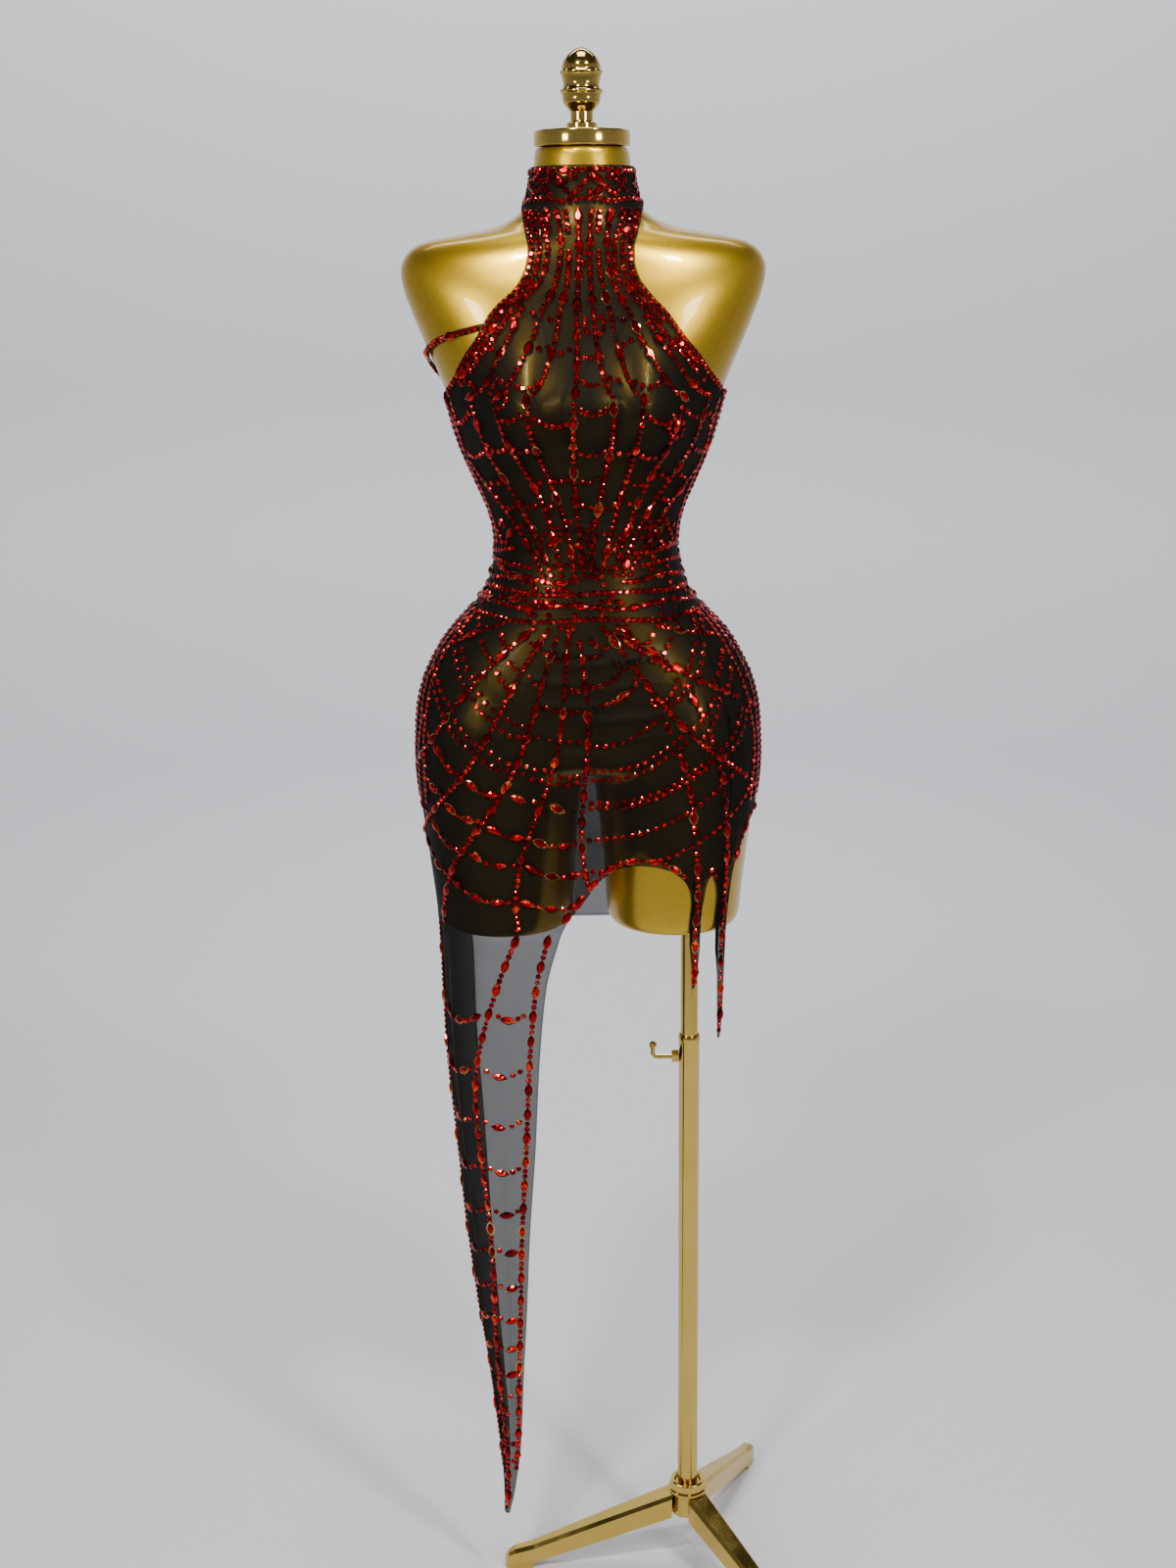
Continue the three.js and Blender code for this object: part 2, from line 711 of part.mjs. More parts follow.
// The finial, from its foot on the plate to its domed top.
function finial() {
  const foot = FORM_TOP + PLATE_THICKNESS + 2 * FIT;
  const profile = [
    { up: 0, radius: 17 },
    { up: 4, radius: 17 },
    { up: 7, radius: 15 },
    { up: 9, radius: 12 },
    { up: 20, radius: 12 },
    { up: 28, radius: 18 },
    { up: 35, radius: 20.5 },
    { up: 38, radius: 23 },
    { up: 42, radius: 23 },
    { up: 50, radius: 18.5 },
    { up: 57, radius: 22 },
    { up: 61, radius: 23 },
    { up: 66, radius: 22.5 },
    { up: 73, radius: 19 },
    { up: 78, radius: 13.5 },
    { up: 81, radius: 7 },
    { up: 82, radius: 0 },
  ];
  const points = profile.map(({ up, radius }) => [radius, foot + up]);
  return turned([[0, foot], ...points], FINIAL_SIDES);
}

function lowerTube() {
  const tube = turned(
    [
      [0, LOWER_BOTTOM],
      [LOWER_RADIUS, LOWER_BOTTOM],
      [LOWER_RADIUS, LOWER_TOP],
      [BORE_RADIUS, LOWER_TOP],
      [BORE_RADIUS, LOWER_BORE_END],
      [0, LOWER_BORE_END],
    ],
    ROUND,
  );
  const drill = rod(SCREW_RADIUS + 0.5, 0, 2 * LOWER_RADIUS);
  drill.rotateY(-Math.PI / 2).translate(0, 0, SCREW_HEIGHT);
  const drilled = solid(tube).subtract(solid(drill));
  return toGeometry(drilled).translate(POLE_X, 0, 0);
}

function hub() {
  const bore = LOWER_RADIUS + FIT;
  return turned(
    [
      [0, HUB_BOTTOM],
      [HUB_RADIUS - 2, HUB_BOTTOM],
      [HUB_RADIUS, HUB_BOTTOM + 2],
      [HUB_RADIUS, 96],
      [HUB_RADIUS + 3, 97],
      [HUB_RADIUS + 3, 100],
      [HUB_RADIUS, 101.5],
      [HUB_RADIUS, HUB_TOP - 1.5],
      [HUB_RADIUS - 1.5, HUB_TOP],
      [HUB_RADIUS - 4.5, HUB_TOP],
      [bore + 1.5, HUB_TOP - 4],
      [bore, HUB_TOP - 4],
      [bore, LOWER_BOTTOM - FIT],
      [0, LOWER_BOTTOM - FIT],
    ],
    ROUND,
  ).translate(POLE_X, 0, 0);
}

// A cast leg: sloping bar with bevelled top edges, and a pad at its end.
function leg(azimuth) {
  const bevel = 4;
  const outlines = legSections.map(({ reach, width, low, top }) => {
    const foot = width / 2;
    const cut = Math.min(bevel, (top - low) / 4, foot / 2);
    return [
      [reach, -foot, low],
      [reach, -foot, top - cut],
      [reach, -foot + cut, top],
      [reach, foot - cut, top],
      [reach, foot, top - cut],
      [reach, foot, low],
    ].reverse();
  });
  const turn = THREE.MathUtils.degToRad(azimuth);
  return loft(outlines).rotateZ(turn).translate(POLE_X, 0, 0);
}

// The boss nut on the tube's side, and the cranked screw with its ball.
function clampNut() {
  const hexagon = new THREE.Shape();
  for (let i = 0; i < 6; i += 1) {
    const angle = (i * Math.PI) / 3;
    const corner = [NUT_RADIUS * Math.cos(angle), NUT_RADIUS * Math.sin(angle)];
    if (i === 0) hexagon.moveTo(...corner);
    else hexagon.lineTo(...corner);
  }
  const hole = new THREE.Path();
  hole.absarc(0, 0, SCREW_RADIUS + 0.4, 0, 2 * Math.PI);
  hexagon.holes.push(hole);
  const nut = new THREE.ExtrudeGeometry(hexagon, {
    depth: NUT_THICKNESS,
    bevelEnabled: false,
    curveSegments: 8,
  });
  return nut.rotateY(-Math.PI / 2).translate(POLE_X - LOWER_RADIUS - FIT, 0, SCREW_HEIGHT);
}

function clampScrew() {
  const section = new THREE.Shape();
  section.absarc(0, 0, SCREW_RADIUS, 0, 2 * Math.PI);
  const tip = UPPER_RADIUS + FIT;
  const corner = 4;
  const route = new THREE.CurvePath();
  const bendStart = new THREE.Vector3(-SCREW_REACH + corner, 0, SCREW_HEIGHT);
  const bend = new THREE.Vector3(-SCREW_REACH, 0, SCREW_HEIGHT);
  const bendEnd = new THREE.Vector3(-SCREW_REACH, 0, SCREW_HEIGHT + corner);
  const top = new THREE.Vector3(-SCREW_REACH, 0, KNOB_HEIGHT);
  route.add(new THREE.LineCurve3(new THREE.Vector3(-tip, 0, SCREW_HEIGHT), bendStart));
  route.add(new THREE.QuadraticBezierCurve3(bendStart, bend, bendEnd));
  route.add(new THREE.LineCurve3(bendEnd, top));
  const shaft = new THREE.ExtrudeGeometry(section, {
    steps: 12,
    curveSegments: 5,
    bevelEnabled: false,
    extrudePath: route,
  });
  const ball = new THREE.SphereGeometry(KNOB_RADIUS, 12, 8);
  ball.translate(-SCREW_REACH, 0, KNOB_HEIGHT);
  return toGeometry(solid(shaft).add(solid(ball))).translate(POLE_X, 0, 0);
}

const meshCloth = new THREE.MeshStandardMaterial({ color: 0x1d1a16, roughness: 0.75, metalness: 0 });
const lacquer = new THREE.MeshStandardMaterial({ color: 0xb98a2c, roughness: 0.3, metalness: 0.6 });
const brass = new THREE.MeshStandardMaterial({ color: 0xd6b45a, roughness: 0.18, metalness: 1 });

const model = new THREE.Group();
function addPiece(parent, name, geometry, material) {
  const mesh = new THREE.Mesh(geometry, material);
  mesh.name = name;
  parent.add(mesh);
}

const dressed = new THREE.Group();
model.add(dressed);
addPiece(dressed, "front_panel", frontPanel(), meshCloth);
addPiece(dressed, "back_panel", backPanel(), meshCloth);
addPiece(dressed, "arm_strap", armStrap(), meshCloth);
addPiece(dressed, "dress_form", dressForm(), lacquer);
addPiece(dressed, "neck_plate", neckPlate(), brass);
addPiece(dressed, "finial", finial(), brass);

const stand = new THREE.Group();
model.add(stand);
addPiece(stand, "upper_tube", rod(UPPER_RADIUS, UPPER_BOTTOM, UPPER_TOP).translate(POLE_X, 0, 0), brass);
addPiece(stand, "lower_tube", lowerTube(), brass);
addPiece(stand, "clamp_nut", clampNut(), brass);
addPiece(stand, "clamp_screw", clampScrew(), brass);
addPiece(stand, "hub", hub(), brass);
LEG_AZIMUTHS.forEach((azimuth, i) => addPiece(stand, "leg_" + (i + 1), leg(azimuth), brass));

const box = new THREE.Box3().setFromObject(model);
const centre = box.getCenter(new THREE.Vector3());
model.position.set(-centre.x, -centre.y, -box.min.z);

export default model;
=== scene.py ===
# %% [markdown]
# # A sheer stage dress on its dress form
# The dress is one layer of black stretch mesh from a high neck to an uneven
# hem, with a long tail at the wearer's right and a web of red stones glued on
# by hand. It stands on a smooth gold form without head, arms or legs, on a
# brass pole with three feet. The CAD model gives the frame: its bodies, its
# joints and the room that each piece takes up.

import bpy
import math
import numpy as np
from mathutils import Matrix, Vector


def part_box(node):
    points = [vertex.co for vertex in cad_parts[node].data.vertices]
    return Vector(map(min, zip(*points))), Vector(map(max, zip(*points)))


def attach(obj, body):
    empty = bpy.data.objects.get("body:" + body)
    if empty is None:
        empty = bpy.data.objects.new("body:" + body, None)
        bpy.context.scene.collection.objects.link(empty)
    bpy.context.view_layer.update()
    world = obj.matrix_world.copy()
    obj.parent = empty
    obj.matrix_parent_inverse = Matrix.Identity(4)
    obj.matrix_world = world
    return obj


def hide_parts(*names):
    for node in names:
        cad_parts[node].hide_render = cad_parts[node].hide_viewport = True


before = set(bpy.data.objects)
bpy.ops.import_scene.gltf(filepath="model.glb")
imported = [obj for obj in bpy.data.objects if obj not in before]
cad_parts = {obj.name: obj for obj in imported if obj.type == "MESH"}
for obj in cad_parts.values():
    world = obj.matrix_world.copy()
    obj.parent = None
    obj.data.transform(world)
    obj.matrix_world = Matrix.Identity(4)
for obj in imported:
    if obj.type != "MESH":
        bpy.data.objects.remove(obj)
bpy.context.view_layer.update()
pole_low, pole_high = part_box("upper_tube")
POLE_X = 116.0
pole_centre = (np.array(pole_low) + np.array(pole_high)) / 2 * 1000
SHIFT = np.array([pole_centre[0] - POLE_X, pole_centre[1], 0.0])
print("from the form's axis to the part's frame, in mm:", SHIFT.round(3))

# %% [markdown]
# All sizes below are millimetres from the form's own upright axis, with the
# front towards -Y, because a body is easiest to describe about its middle.
# One helper turns arrays of points and faces into an object in the part's
# frame, in metres, so that no object has a place or a turn of its own.


# %% Points and faces to an object
def make_piece(name, points, faces, smooth=True, uv=None):
    """A mesh object in the part's frame: each point is (point + shift) / 1000."""
    mesh = bpy.data.meshes.new(name)
    faces = faces if isinstance(faces, list) else faces.tolist()
    mesh.from_pydata(((np.asarray(points) + SHIFT) / 1000).tolist(), [], faces)
    mesh.polygons.foreach_set("use_smooth", np.full(len(mesh.polygons), smooth))
    if uv is not None:
        corners = np.empty(len(mesh.loops), dtype=np.int32)
        mesh.loops.foreach_get("vertex_index", corners)
        layer = mesh.uv_layers.new(name="flat_cut")
        layer.data.foreach_set("uv", uv[corners].ravel())
    obj = bpy.data.objects.new(name, mesh)
    bpy.context.scene.collection.objects.link(obj)
    return obj


def grid_faces(index):
    """Four-sided faces between neighbouring rows and columns of a grid of point numbers."""
    quads = np.stack([index[:-1, :-1], index[1:, :-1], index[1:, 1:], index[:-1, 1:]], axis=-1)
    return quads.reshape(-1, 4)


# %% [markdown]
# ## Smooth tables
# A body or a hem is told by a few rows of numbers, and every height between
# two rows is read from them. Straight lines between rows would show as kinks
# in the lacquer, and a plain cubic curve may swing past a row. The curve here
# takes its slope at a row from both sides of it, so it stays between its rows.


# %% Reading a table between its rows
def read_table(table, at):
    """The columns of a table at any heights: cubic pieces whose slope at a row is the harmonic
    mean of the slopes beside it, or zero where the column turns back."""
    table = table[np.argsort(table[:, 0])]
    key, value = table[:, 0], table[:, 1:]
    step = np.diff(key)[:, None]
    slope = np.diff(value, axis=0) / step
    before, after = slope[:-1], slope[1:]
    turning = before * after <= 0
    total = np.where(turning, 1.0, before + after)
    tangent = np.vstack([slope[:1], np.where(turning, 0.0, 2 * before * after / total), slope[-1:]])
    at = np.clip(np.asarray(at, dtype=float), key[0], key[-1])
    i = np.clip(np.searchsorted(key, at, side="right") - 1, 0, len(key) - 2)
    f = ((at - key[i]) / step[i, 0])[..., None]
    return (
        (1 + 2 * f) * (1 - f) ** 2 * value[i]
        + f * (1 - f) ** 2 * step[i] * tangent[i]
        + f**2 * (3 - 2 * f) * value[i + 1]
        + f**2 * (f - 1) * step[i] * tangent[i + 1]
    )


# %% [markdown]
# ## The form's sections
# A dress form is moulded, so it is fully described by level sections. Each
# row gives a height, the half width, the depth in front and behind, and how
# square the outline is. The two thigh stubs have rows of their own, with the
# inner and the outer side in place of the half width.

# %% Tables of the form
# height, half width, front, back, power
TORSO = np.array([
    [1712, 50, 50, 50, 2.0],
    [1692, 51.5, 51, 52, 2.0],
    [1672, 54, 53, 56, 2.0],
    [1656, 59, 56, 62, 2.0],
    [1646, 68, 59, 67, 1.9],
    [1638, 80, 62, 71, 1.75],
    [1630, 105, 65, 76, 1.55],
    [1624, 141, 68, 80, 1.55],
    [1616, 175, 71, 84, 1.7],
    [1604, 190, 75, 89, 1.9],
    [1588, 195.5, 79, 93, 2.05],
    [1568, 192, 84, 98, 2.15],
    [1545, 184, 88, 102, 2.2],
    [1520, 174, 92, 105, 2.2],
    [1490, 161, 94, 104, 2.2],
    [1462, 150, 94, 101, 2.2],
    [1440, 144, 92, 97, 2.15],
    [1412, 136, 90, 91, 2.1],
    [1384, 125, 86, 85, 2.05],
    [1357, 113, 83, 79, 2.0],
    [1335, 104, 81, 75, 2.0],
    [1314, 99, 80, 73, 2.0],
    [1294, 98, 80, 73, 2.0],
    [1274, 101, 82, 76, 2.0],
    [1254, 107, 86, 82, 2.0],
    [1236, 117, 90, 89, 2.05],
    [1214, 138, 95, 99, 2.1],
    [1192, 157, 99, 108, 2.15],
    [1170, 170, 102, 116, 2.2],
    [1143, 182, 105, 121, 2.2],
    [1113, 189, 106, 123, 2.2],
    [1080, 191.5, 104, 119, 2.2],
    [1056, 190.5, 98, 112, 2.15],
    [1040, 187, 91, 104, 2.1],
])
# height, inner side, outer side, front, back, power
STUB = np.array([
    [1165, 34, 155, 80, 92, 2.1],
    [1122, 14, 181, 94, 110, 2.05],
    [1090, 4, 190, 98.5, 115, 2.05],
    [1065, 2, 192, 98, 113, 2.05],
    [1041, 4, 191.5, 96.5, 110, 2.05],
    [1020, 7, 189.5, 95, 108, 2.1],
    [988, 11, 186, 93, 103, 2.1],
    [959, 14, 182.5, 91, 98, 2.1],
    [929, 16.5, 179, 89, 94, 2.1],
    [898, 18.5, 175.5, 87, 90, 2.1],
    [872, 20, 173, 84.5, 87, 2.1],
    [865, 22, 171, 82.5, 85, 2.1],
    [862, 26, 167, 78.5, 81, 2.1],
])
FORM_TOP, TORSO_END, STUB_START, STUB_END = TORSO[0, 0], TORSO[-1, 0], STUB[0, 0], STUB[-1, 0]
BUST_HEIGHT, BUST_X, BUST_DEPTH, BUST_WIDTH = 1440.0, 63.0, 34.0, 46.0
BUST_ABOVE, BUST_BELOW = 56.0, 42.0
CROTCH_HOLLOW, CROTCH_WIDTH, CROTCH_ROUND = 0.7, 42.0, 30.0


def outline(centre, half, front, back, power, angle):
    """x = centre + half * |cos|^(2/p) and y = depth * |sin|^(2/p), each with its sign."""
    c, s = np.cos(angle), np.sin(angle)
    x = centre + half * np.sign(c) * np.abs(c) ** (2 / power)
    y = np.where(s < 0, front, back) * np.sign(s) * np.abs(s) ** (2 / power)
    return x, y


def torso_points(z, angle):
    """Torso outline with the bust added: depth * exp(-(height / reach)^2) * exp(-(side / width)^2).
    Between the thighs the last millimetres round under, as a quarter of an ellipse."""
    half, front, back, power = np.moveaxis(read_table(TORSO, z), -1, 0)
    x, y = outline(0.0, half, front, back, power, angle)
    reach = np.where(z > BUST_HEIGHT, BUST_ABOVE, BUST_BELOW)
    level = np.exp(-(((z - BUST_HEIGHT) / reach) ** 2))
    side = sum(np.exp(-(((x - middle) / BUST_WIDTH) ** 2)) for middle in (BUST_X, -BUST_X))
    y = y - BUST_DEPTH * level * side * np.clip(-y / (0.5 * front), 0, 1)
    under = 1 - np.sqrt(1 - np.clip((TORSO_END + CROTCH_ROUND - z) / CROTCH_ROUND, 0, 1) ** 2)
    return x, y * (1 - CROTCH_HOLLOW * under * np.exp(-((x / CROTCH_WIDTH) ** 2)))


def stub_points(z, angle, side):
    """Outline of one thigh stub: side is -1 on the wearer's right and 1 on the left."""
    inner, outer, front, back, power = np.moveaxis(read_table(STUB, z), -1, 0)
    return outline(side * (inner + outer) / 2, (outer - inner) / 2, front, back, power, angle)


# %% [markdown]
# ## The form's skin
# The real form is one moulding, so torso and stubs flow into each other. They
# could be joined with a Boolean, which leaves a sharp line. A voxel remesh of
# the closed bodies gives one skin instead, and a few rounds of smoothing turn
# the meeting line into the fillet that a mould has.


# %% Rings of the torso and the two stubs
def tube_faces(rows, columns, first=0):
    """Faces of a closed tube of rings: a grid of point numbers that wraps round, and a cap at each
    end."""
    index = first + np.arange(rows * columns).reshape(rows, columns)
    quads = grid_faces(np.hstack([index, index[:, :1]]))[:, ::-1]
    return quads.tolist() + [index[0, ::-1].tolist(), index[-1].tolist()]


ring = np.linspace(0, 2 * np.pi, 181)[:-1][None, :]
torso_z = np.linspace(FORM_TOP, TORSO_END, 225)[:, None]
stub_z = np.linspace(STUB_START, STUB_END, 110)[:, None]
bodies = [(torso_z, torso_points(torso_z, ring))]
bodies += [(stub_z, stub_points(stub_z, ring, side)) for side in (-1, 1)]
form_points, form_faces, first = [], [], 0
for z, (x, y) in bodies:
    form_points.append(np.stack([x, y, np.broadcast_to(z, x.shape)], axis=-1).reshape(-1, 3))
    form_faces += tube_faces(*x.shape, first)
    first += x.size
form = make_piece("form", np.vstack(form_points), form_faces)
print("form:", first, "points and", len(form_faces), "faces before the remesh")

# %% One skin over the form
VOXEL, FILLET_SHARE, FILLET_ROUNDS = 0.0045, 0.5, 6
form_skin = form.modifiers.new("one_skin", "REMESH")
form_skin.mode, form_skin.voxel_size, form_skin.use_smooth_shade = "VOXEL", VOXEL, True
form_fillet = form.modifiers.new("fillet", "SMOOTH")
form_fillet.factor, form_fillet.iterations = FILLET_SHARE, FILLET_ROUNDS
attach(form, "dressed_form")
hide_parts("dress_form")

# %% [markdown]
# ## Where the stretched cloth lies
# Stretch cloth follows a body where it bulges and bridges every hollow, so a
# level section of it is the convex outline of the form's section. That
# outline is found by asking, for many directions, which point of the section
# lies farthest out. The form is the same on both sides, so half is enough.
# The result is a table of points by height and by length round from the
# centre front, which every later piece reads.

# %% One convex section after another
LOWEST, ROW_STEP, HALF_COUNT = 872.0, 2.0, 301
HEIGHTS = np.arange(LOWEST, FORM_TOP + 0.1, ROW_STEP)
directions = np.linspace(-np.pi / 2, np.pi / 2, 541)
towards = np.stack([np.cos(directions), np.sin(directions)])
fine_ring = np.linspace(0, 2 * np.pi, 361)[:-1]
HALF_LENGTH = np.zeros(len(HEIGHTS))
SIDE_LENGTH = np.zeros(len(HEIGHTS))
HALF_LOOP = np.zeros((len(HEIGHTS), HALF_COUNT, 3))
for row, z in enumerate(HEIGHTS):
    sections = []
    if z >= TORSO_END:
        sections.append(np.stack(torso_points(z, fine_ring), axis=-1))
    if z <= STUB_START:
        sections += [np.stack(stub_points(z, fine_ring, side), axis=-1) for side in (-1, 1)]
    section = np.vstack(sections)
    section = section[section[:, 0] >= 0]
    farthest = section[np.argmax(section @ towards, axis=0)]
    hull = np.vstack([[0, farthest[0, 1]], farthest, [0, farthest[-1, 1]]])
    length = np.concatenate([[0], np.cumsum(np.hypot(*np.diff(hull, axis=0).T))])
    keep = np.concatenate([[True], np.diff(length) > 1e-6])
    hull, length = hull[keep], length[keep]
    HALF_LENGTH[row] = length[-1]
    SIDE_LENGTH[row] = np.interp(0.0, hull[:, 1], length)
    even = np.linspace(0, length[-1], HALF_COUNT)
    HALF_LOOP[row, :, 0] = np.interp(even, length, hull[:, 0])
    HALF_LOOP[row, :, 1] = np.interp(even, length, hull[:, 1])
    HALF_LOOP[row, :, 2] = z

# %% [markdown]
# ## An even surface
# A table of separate sections has small steps from one row to the next, which
# a stretched cloth would not show. It is smoothed down its length, and the
# way that the cloth faces is found from its rows and columns.


# %% Smoothing and normals
def soften(table, rounds):
    """Each row becomes half of itself and a quarter of each neighbour, a number of rounds over."""
    for _ in range(rounds):
        padded = np.concatenate([table[:1], table, table[-1:]])
        table = 0.25 * padded[:-2] + 0.5 * padded[1:-1] + 0.25 * padded[2:]
    return table


ROUNDS = 12
HALF_LOOP[..., :2] = soften(HALF_LOOP[..., :2], ROUNDS)
HALF_LENGTH, SIDE_LENGTH = soften(HALF_LENGTH, ROUNDS), soften(SIDE_LENGTH, ROUNDS)
HALF_NORMAL = np.cross(np.gradient(HALF_LOOP, axis=1), np.gradient(HALF_LOOP, axis=0))
HALF_NORMAL /= np.linalg.norm(HALF_NORMAL, axis=-1, keepdims=True)


def level_of(z, lengths):
    """A table of lengths by height, read at z."""
    return np.interp(z, HEIGHTS, lengths)


WAIST, HIPS = 1294.0, 1112.0
for name, z in (("waist", WAIST), ("hips", HIPS)):
    print("half way round at the", name, "in mm:", round(float(level_of(z, HALF_LENGTH)), 1))

# %% [markdown]
# ## Places on the cloth
# Everything on the dress is placed by two numbers: how far round from the
# centre front, and how high. A maker measures the same with a tape, so
# armholes, hems and stones keep their sizes on the curved body. Edges are
# known by how far they lie from the middle, so a second helper finds the
# length round at which the cloth passes a given x.


# %% Points at a length round and a height
def read_grid(table, row, column):
    """A table of points read between its rows and columns, along straight lines both ways."""
    r = np.clip(row.astype(int), 0, table.shape[0] - 2)
    k = np.clip(column.astype(int), 0, table.shape[1] - 2)
    f, g = (row - r)[..., None], (column - k)[..., None]
    low = table[r, k] * (1 - g) + table[r, k + 1] * g
    high = table[r + 1, k] * (1 - g) + table[r + 1, k + 1] * g
    return low * (1 - f) + high * f


def on_cloth(s, z, lift=0.0):
    """Points and outward normals at length s round from the centre front and height z. s is
    positive towards the wearer's left. Below the lowest section the cloth hangs straight down."""
    s, z = np.broadcast_arrays(np.asarray(s, dtype=float), np.asarray(z, dtype=float))
    row = (np.clip(z, LOWEST, HEIGHTS[-1]) - LOWEST) / ROW_STEP
    way = (s / level_of(z, HALF_LENGTH) + 1) % 2 - 1
    column = np.abs(way) * (HALF_COUNT - 1)
    points, normals = (read_grid(table, row, column) for table in (HALF_LOOP, HALF_NORMAL))
    side = np.where(way < 0, -1.0, 1.0)
    points[..., 0] *= side
    normals[..., 0] *= side
    normals /= np.linalg.norm(normals, axis=-1, keepdims=True)
    points[..., 2] = z
    return points + normals * np.asarray(lift)[..., None], normals


# %% Lengths round at a given x
def length_at_x(x, z, back):
    """Lengths from the centre front, or the centre back, at which the cloth passes x at heights z:
    the first place where the way out from the middle has come as far as x."""
    x, z = np.broadcast_arrays(np.asarray(x, dtype=float), np.asarray(z, dtype=float))
    row = np.clip(np.round((z - LOWEST) / ROW_STEP), 0, len(HEIGHTS) - 1).astype(int)
    line = HALF_LOOP[row, :, 0]
    farthest_yet = np.maximum.accumulate(line[..., ::-1] if back else line, axis=-1)
    reach = np.minimum(np.abs(x), farthest_yet[..., -1])[..., None]
    k = np.clip((farthest_yet < reach).sum(-1, keepdims=True), 1, HALF_COUNT - 1)
    low, high = (np.take_along_axis(farthest_yet, at, -1) for at in (k - 1, k))
    found = (k - 1 + (reach - low) / (high - low))[..., 0]
    return np.copysign(found * HALF_LENGTH[row] / (HALF_COUNT - 1), x)


# %% [markdown]
# ## Front and back of the dress
# A maker cuts a front and a back, each in one from the neck to the hem, and
# joins them at the sides. The grid of a panel has level rows at the neck and
# Below the underarm each column runs down to its own
# hem height, so the arches of the hem and the two narrow drips are only a
# curve in a table. A few soft creases are listed one by one: the cloth drags
# across the hips, where it is stretched from the waist to the thighs.

# %% Edges of the cloth
NECK_TOP, NECK_SIDE, UNDERARM, TAIL_TOP, SIDE_HEM = 1692.0, 1652.0, 1460.0, 868.0, 1000.0
CLEARANCE, CLOTH, SEAM_GAP = 2.4, 0.6, 0.3
# height, armhole edge on the wearer's right, edge on the left
ARMHOLES = np.array([
    [1648, -62.5, 61.5],
    [1639, -61.5, 59.5],
    [1626, -60, 57],
    [1610, -57, 53],
    [1594, -59, 53],
    [1580, -64, 57],
    [1568, -72, 65],
    [1557, -85, 74],
    [1545, -97, 86],
    [1530, -106, 97],
    [1515, -115, 108],
    [1507, -121, 115],
    [1499, -126.5, 121.5],
    [1485, -134, 131],
    [1474, -140, 139],
    [1467, -145, 144.5],
    [1463, -148.5, 148],
])
# x, height along the front hem, with the two drips
FRONT_HEM = np.array([
    [-33, 868], [-27, 881], [-20, 891], [-4, 912], [14, 935], [36, 948], [54, 950], [71, 948.5],
    [87, 944], [103, 933], [110, 921], [113.5, 903], [114.3, 872], [115, 826], [116.2, 801],
    [118.5, 803], [122.5, 826], [124, 872], [125.8, 905], [129, 924], [134.5, 935], [140.5, 924],
    [143.2, 903], [143.9, 850], [144.4, 780], [145, 738], [146.8, 735], [149.5, 752], [151.5, 790],
    [153, 850], [154.6, 903], [158, 932], [165, 955], [176, 985],
])
BACK_HEM = np.array([
    [-143, 868], [-126, 845], [-104, 836], [-78, 833], [-46, 831], [-14, 831], [14, 831],
    [46, 833], [78, 838], [102, 847], [120, 858], [136, 875], [150, 898], [162, 928], [171, 955],
])

# %% Creases of the cloth
# from (length round, height) to (length round, height), height of the ridge, its width
FRONT_CREASES = np.array([
    [-70, 1196, 40, 1188, 2.2, 3.6], [-30, 1176, 88, 1186, 2.7, 4.3], [-96, 1165, -6, 1157, 2.4, 4.3],
    [10, 1152, 96, 1160, 2, 3.6], [-60, 1138, 30, 1131, 2.5, 4.3], [-8, 1117, 92, 1124, 2.4, 4.3],
    [-84, 1106, -20, 1100, 1.9, 3.6], [22, 1096, 84, 1101, 1.7, 3.6], [-40, 1083, 24, 1079, 2, 4.3],
    [-150, 1120, -96, 1098, 2, 5], [118, 1130, 164, 1112, 2, 5], [-120, 1235, -62, 1222, 1.9, 4.3],
    [64, 1226, 118, 1240, 1.9, 4.3], [-34, 1040, 10, 975, 2.2, 6.5], [30, 1046, 18, 985, 2, 6.5],
    [-30, 1326, 26, 1318, 1.5, 4.3], [-52, 1562, -36, 1490, 2, 4.3], [40, 1572, 28, 1496, 1.9, 4.3],
])
BACK_CREASES = np.array([
    [-88, 1218, 20, 1206, 2.7, 4.3], [-14, 1194, 92, 1204, 2.5, 4.3], [-70, 1240, 60, 1232, 2.2, 4.3],
    [-104, 1176, -20, 1164, 2, 4.3], [24, 1168, 110, 1180, 2.2, 4.3], [-60, 1262, 66, 1268, 2, 4.3],
    [-30, 1046, 4, 960, 2.4, 7.2], [34, 1050, 18, 970, 2, 7.2], [-52, 1570, -38, 1500, 1.7, 5],
    [46, 1566, 34, 1504, 1.7, 5], [-70, 1030, -104, 1012, 2, 5], [72, 1034, 108, 1018, 1.9, 5],
])
CREASE_RISE, CREASE_SPREAD = 1.5, 0.85


def crease_height(s, z, table):
    """Each crease is a line on the flat cloth. Its height is h * exp(-(distance / width)^2), and
    it runs out at both ends as the square root of a sine."""
    start, run = table[:, 0:2], table[:, 2:4] - table[:, 0:2]
    away = np.stack([s, z], axis=-1)[..., None, :] - start
    along = np.clip((away * run).sum(-1) / (run * run).sum(-1), 0, 1)
    distance = ((away - along[..., None] * run) ** 2).sum(-1)
    fade = np.sqrt(np.sin(np.pi * along).clip(0, 1))
    width = CREASE_SPREAD * table[:, 5]
    return (CREASE_RISE * table[:, 4] * fade * np.exp(-distance / width**2)).sum(-1)


# %% [markdown]
# ## The grid of a panel
# A flat panel could be cut out of a wide sheet of faces, which leaves ragged
# edges. Here the grid's own rows and columns follow the edges, so every edge
# is as smooth as its table. Columns are spaced more closely where the hem
# turns quickly, as it does at the two drips.


# %% Columns of a panel
DRIP_LEVEL = 905.0  # below this height the front's columns keep the places that they have here


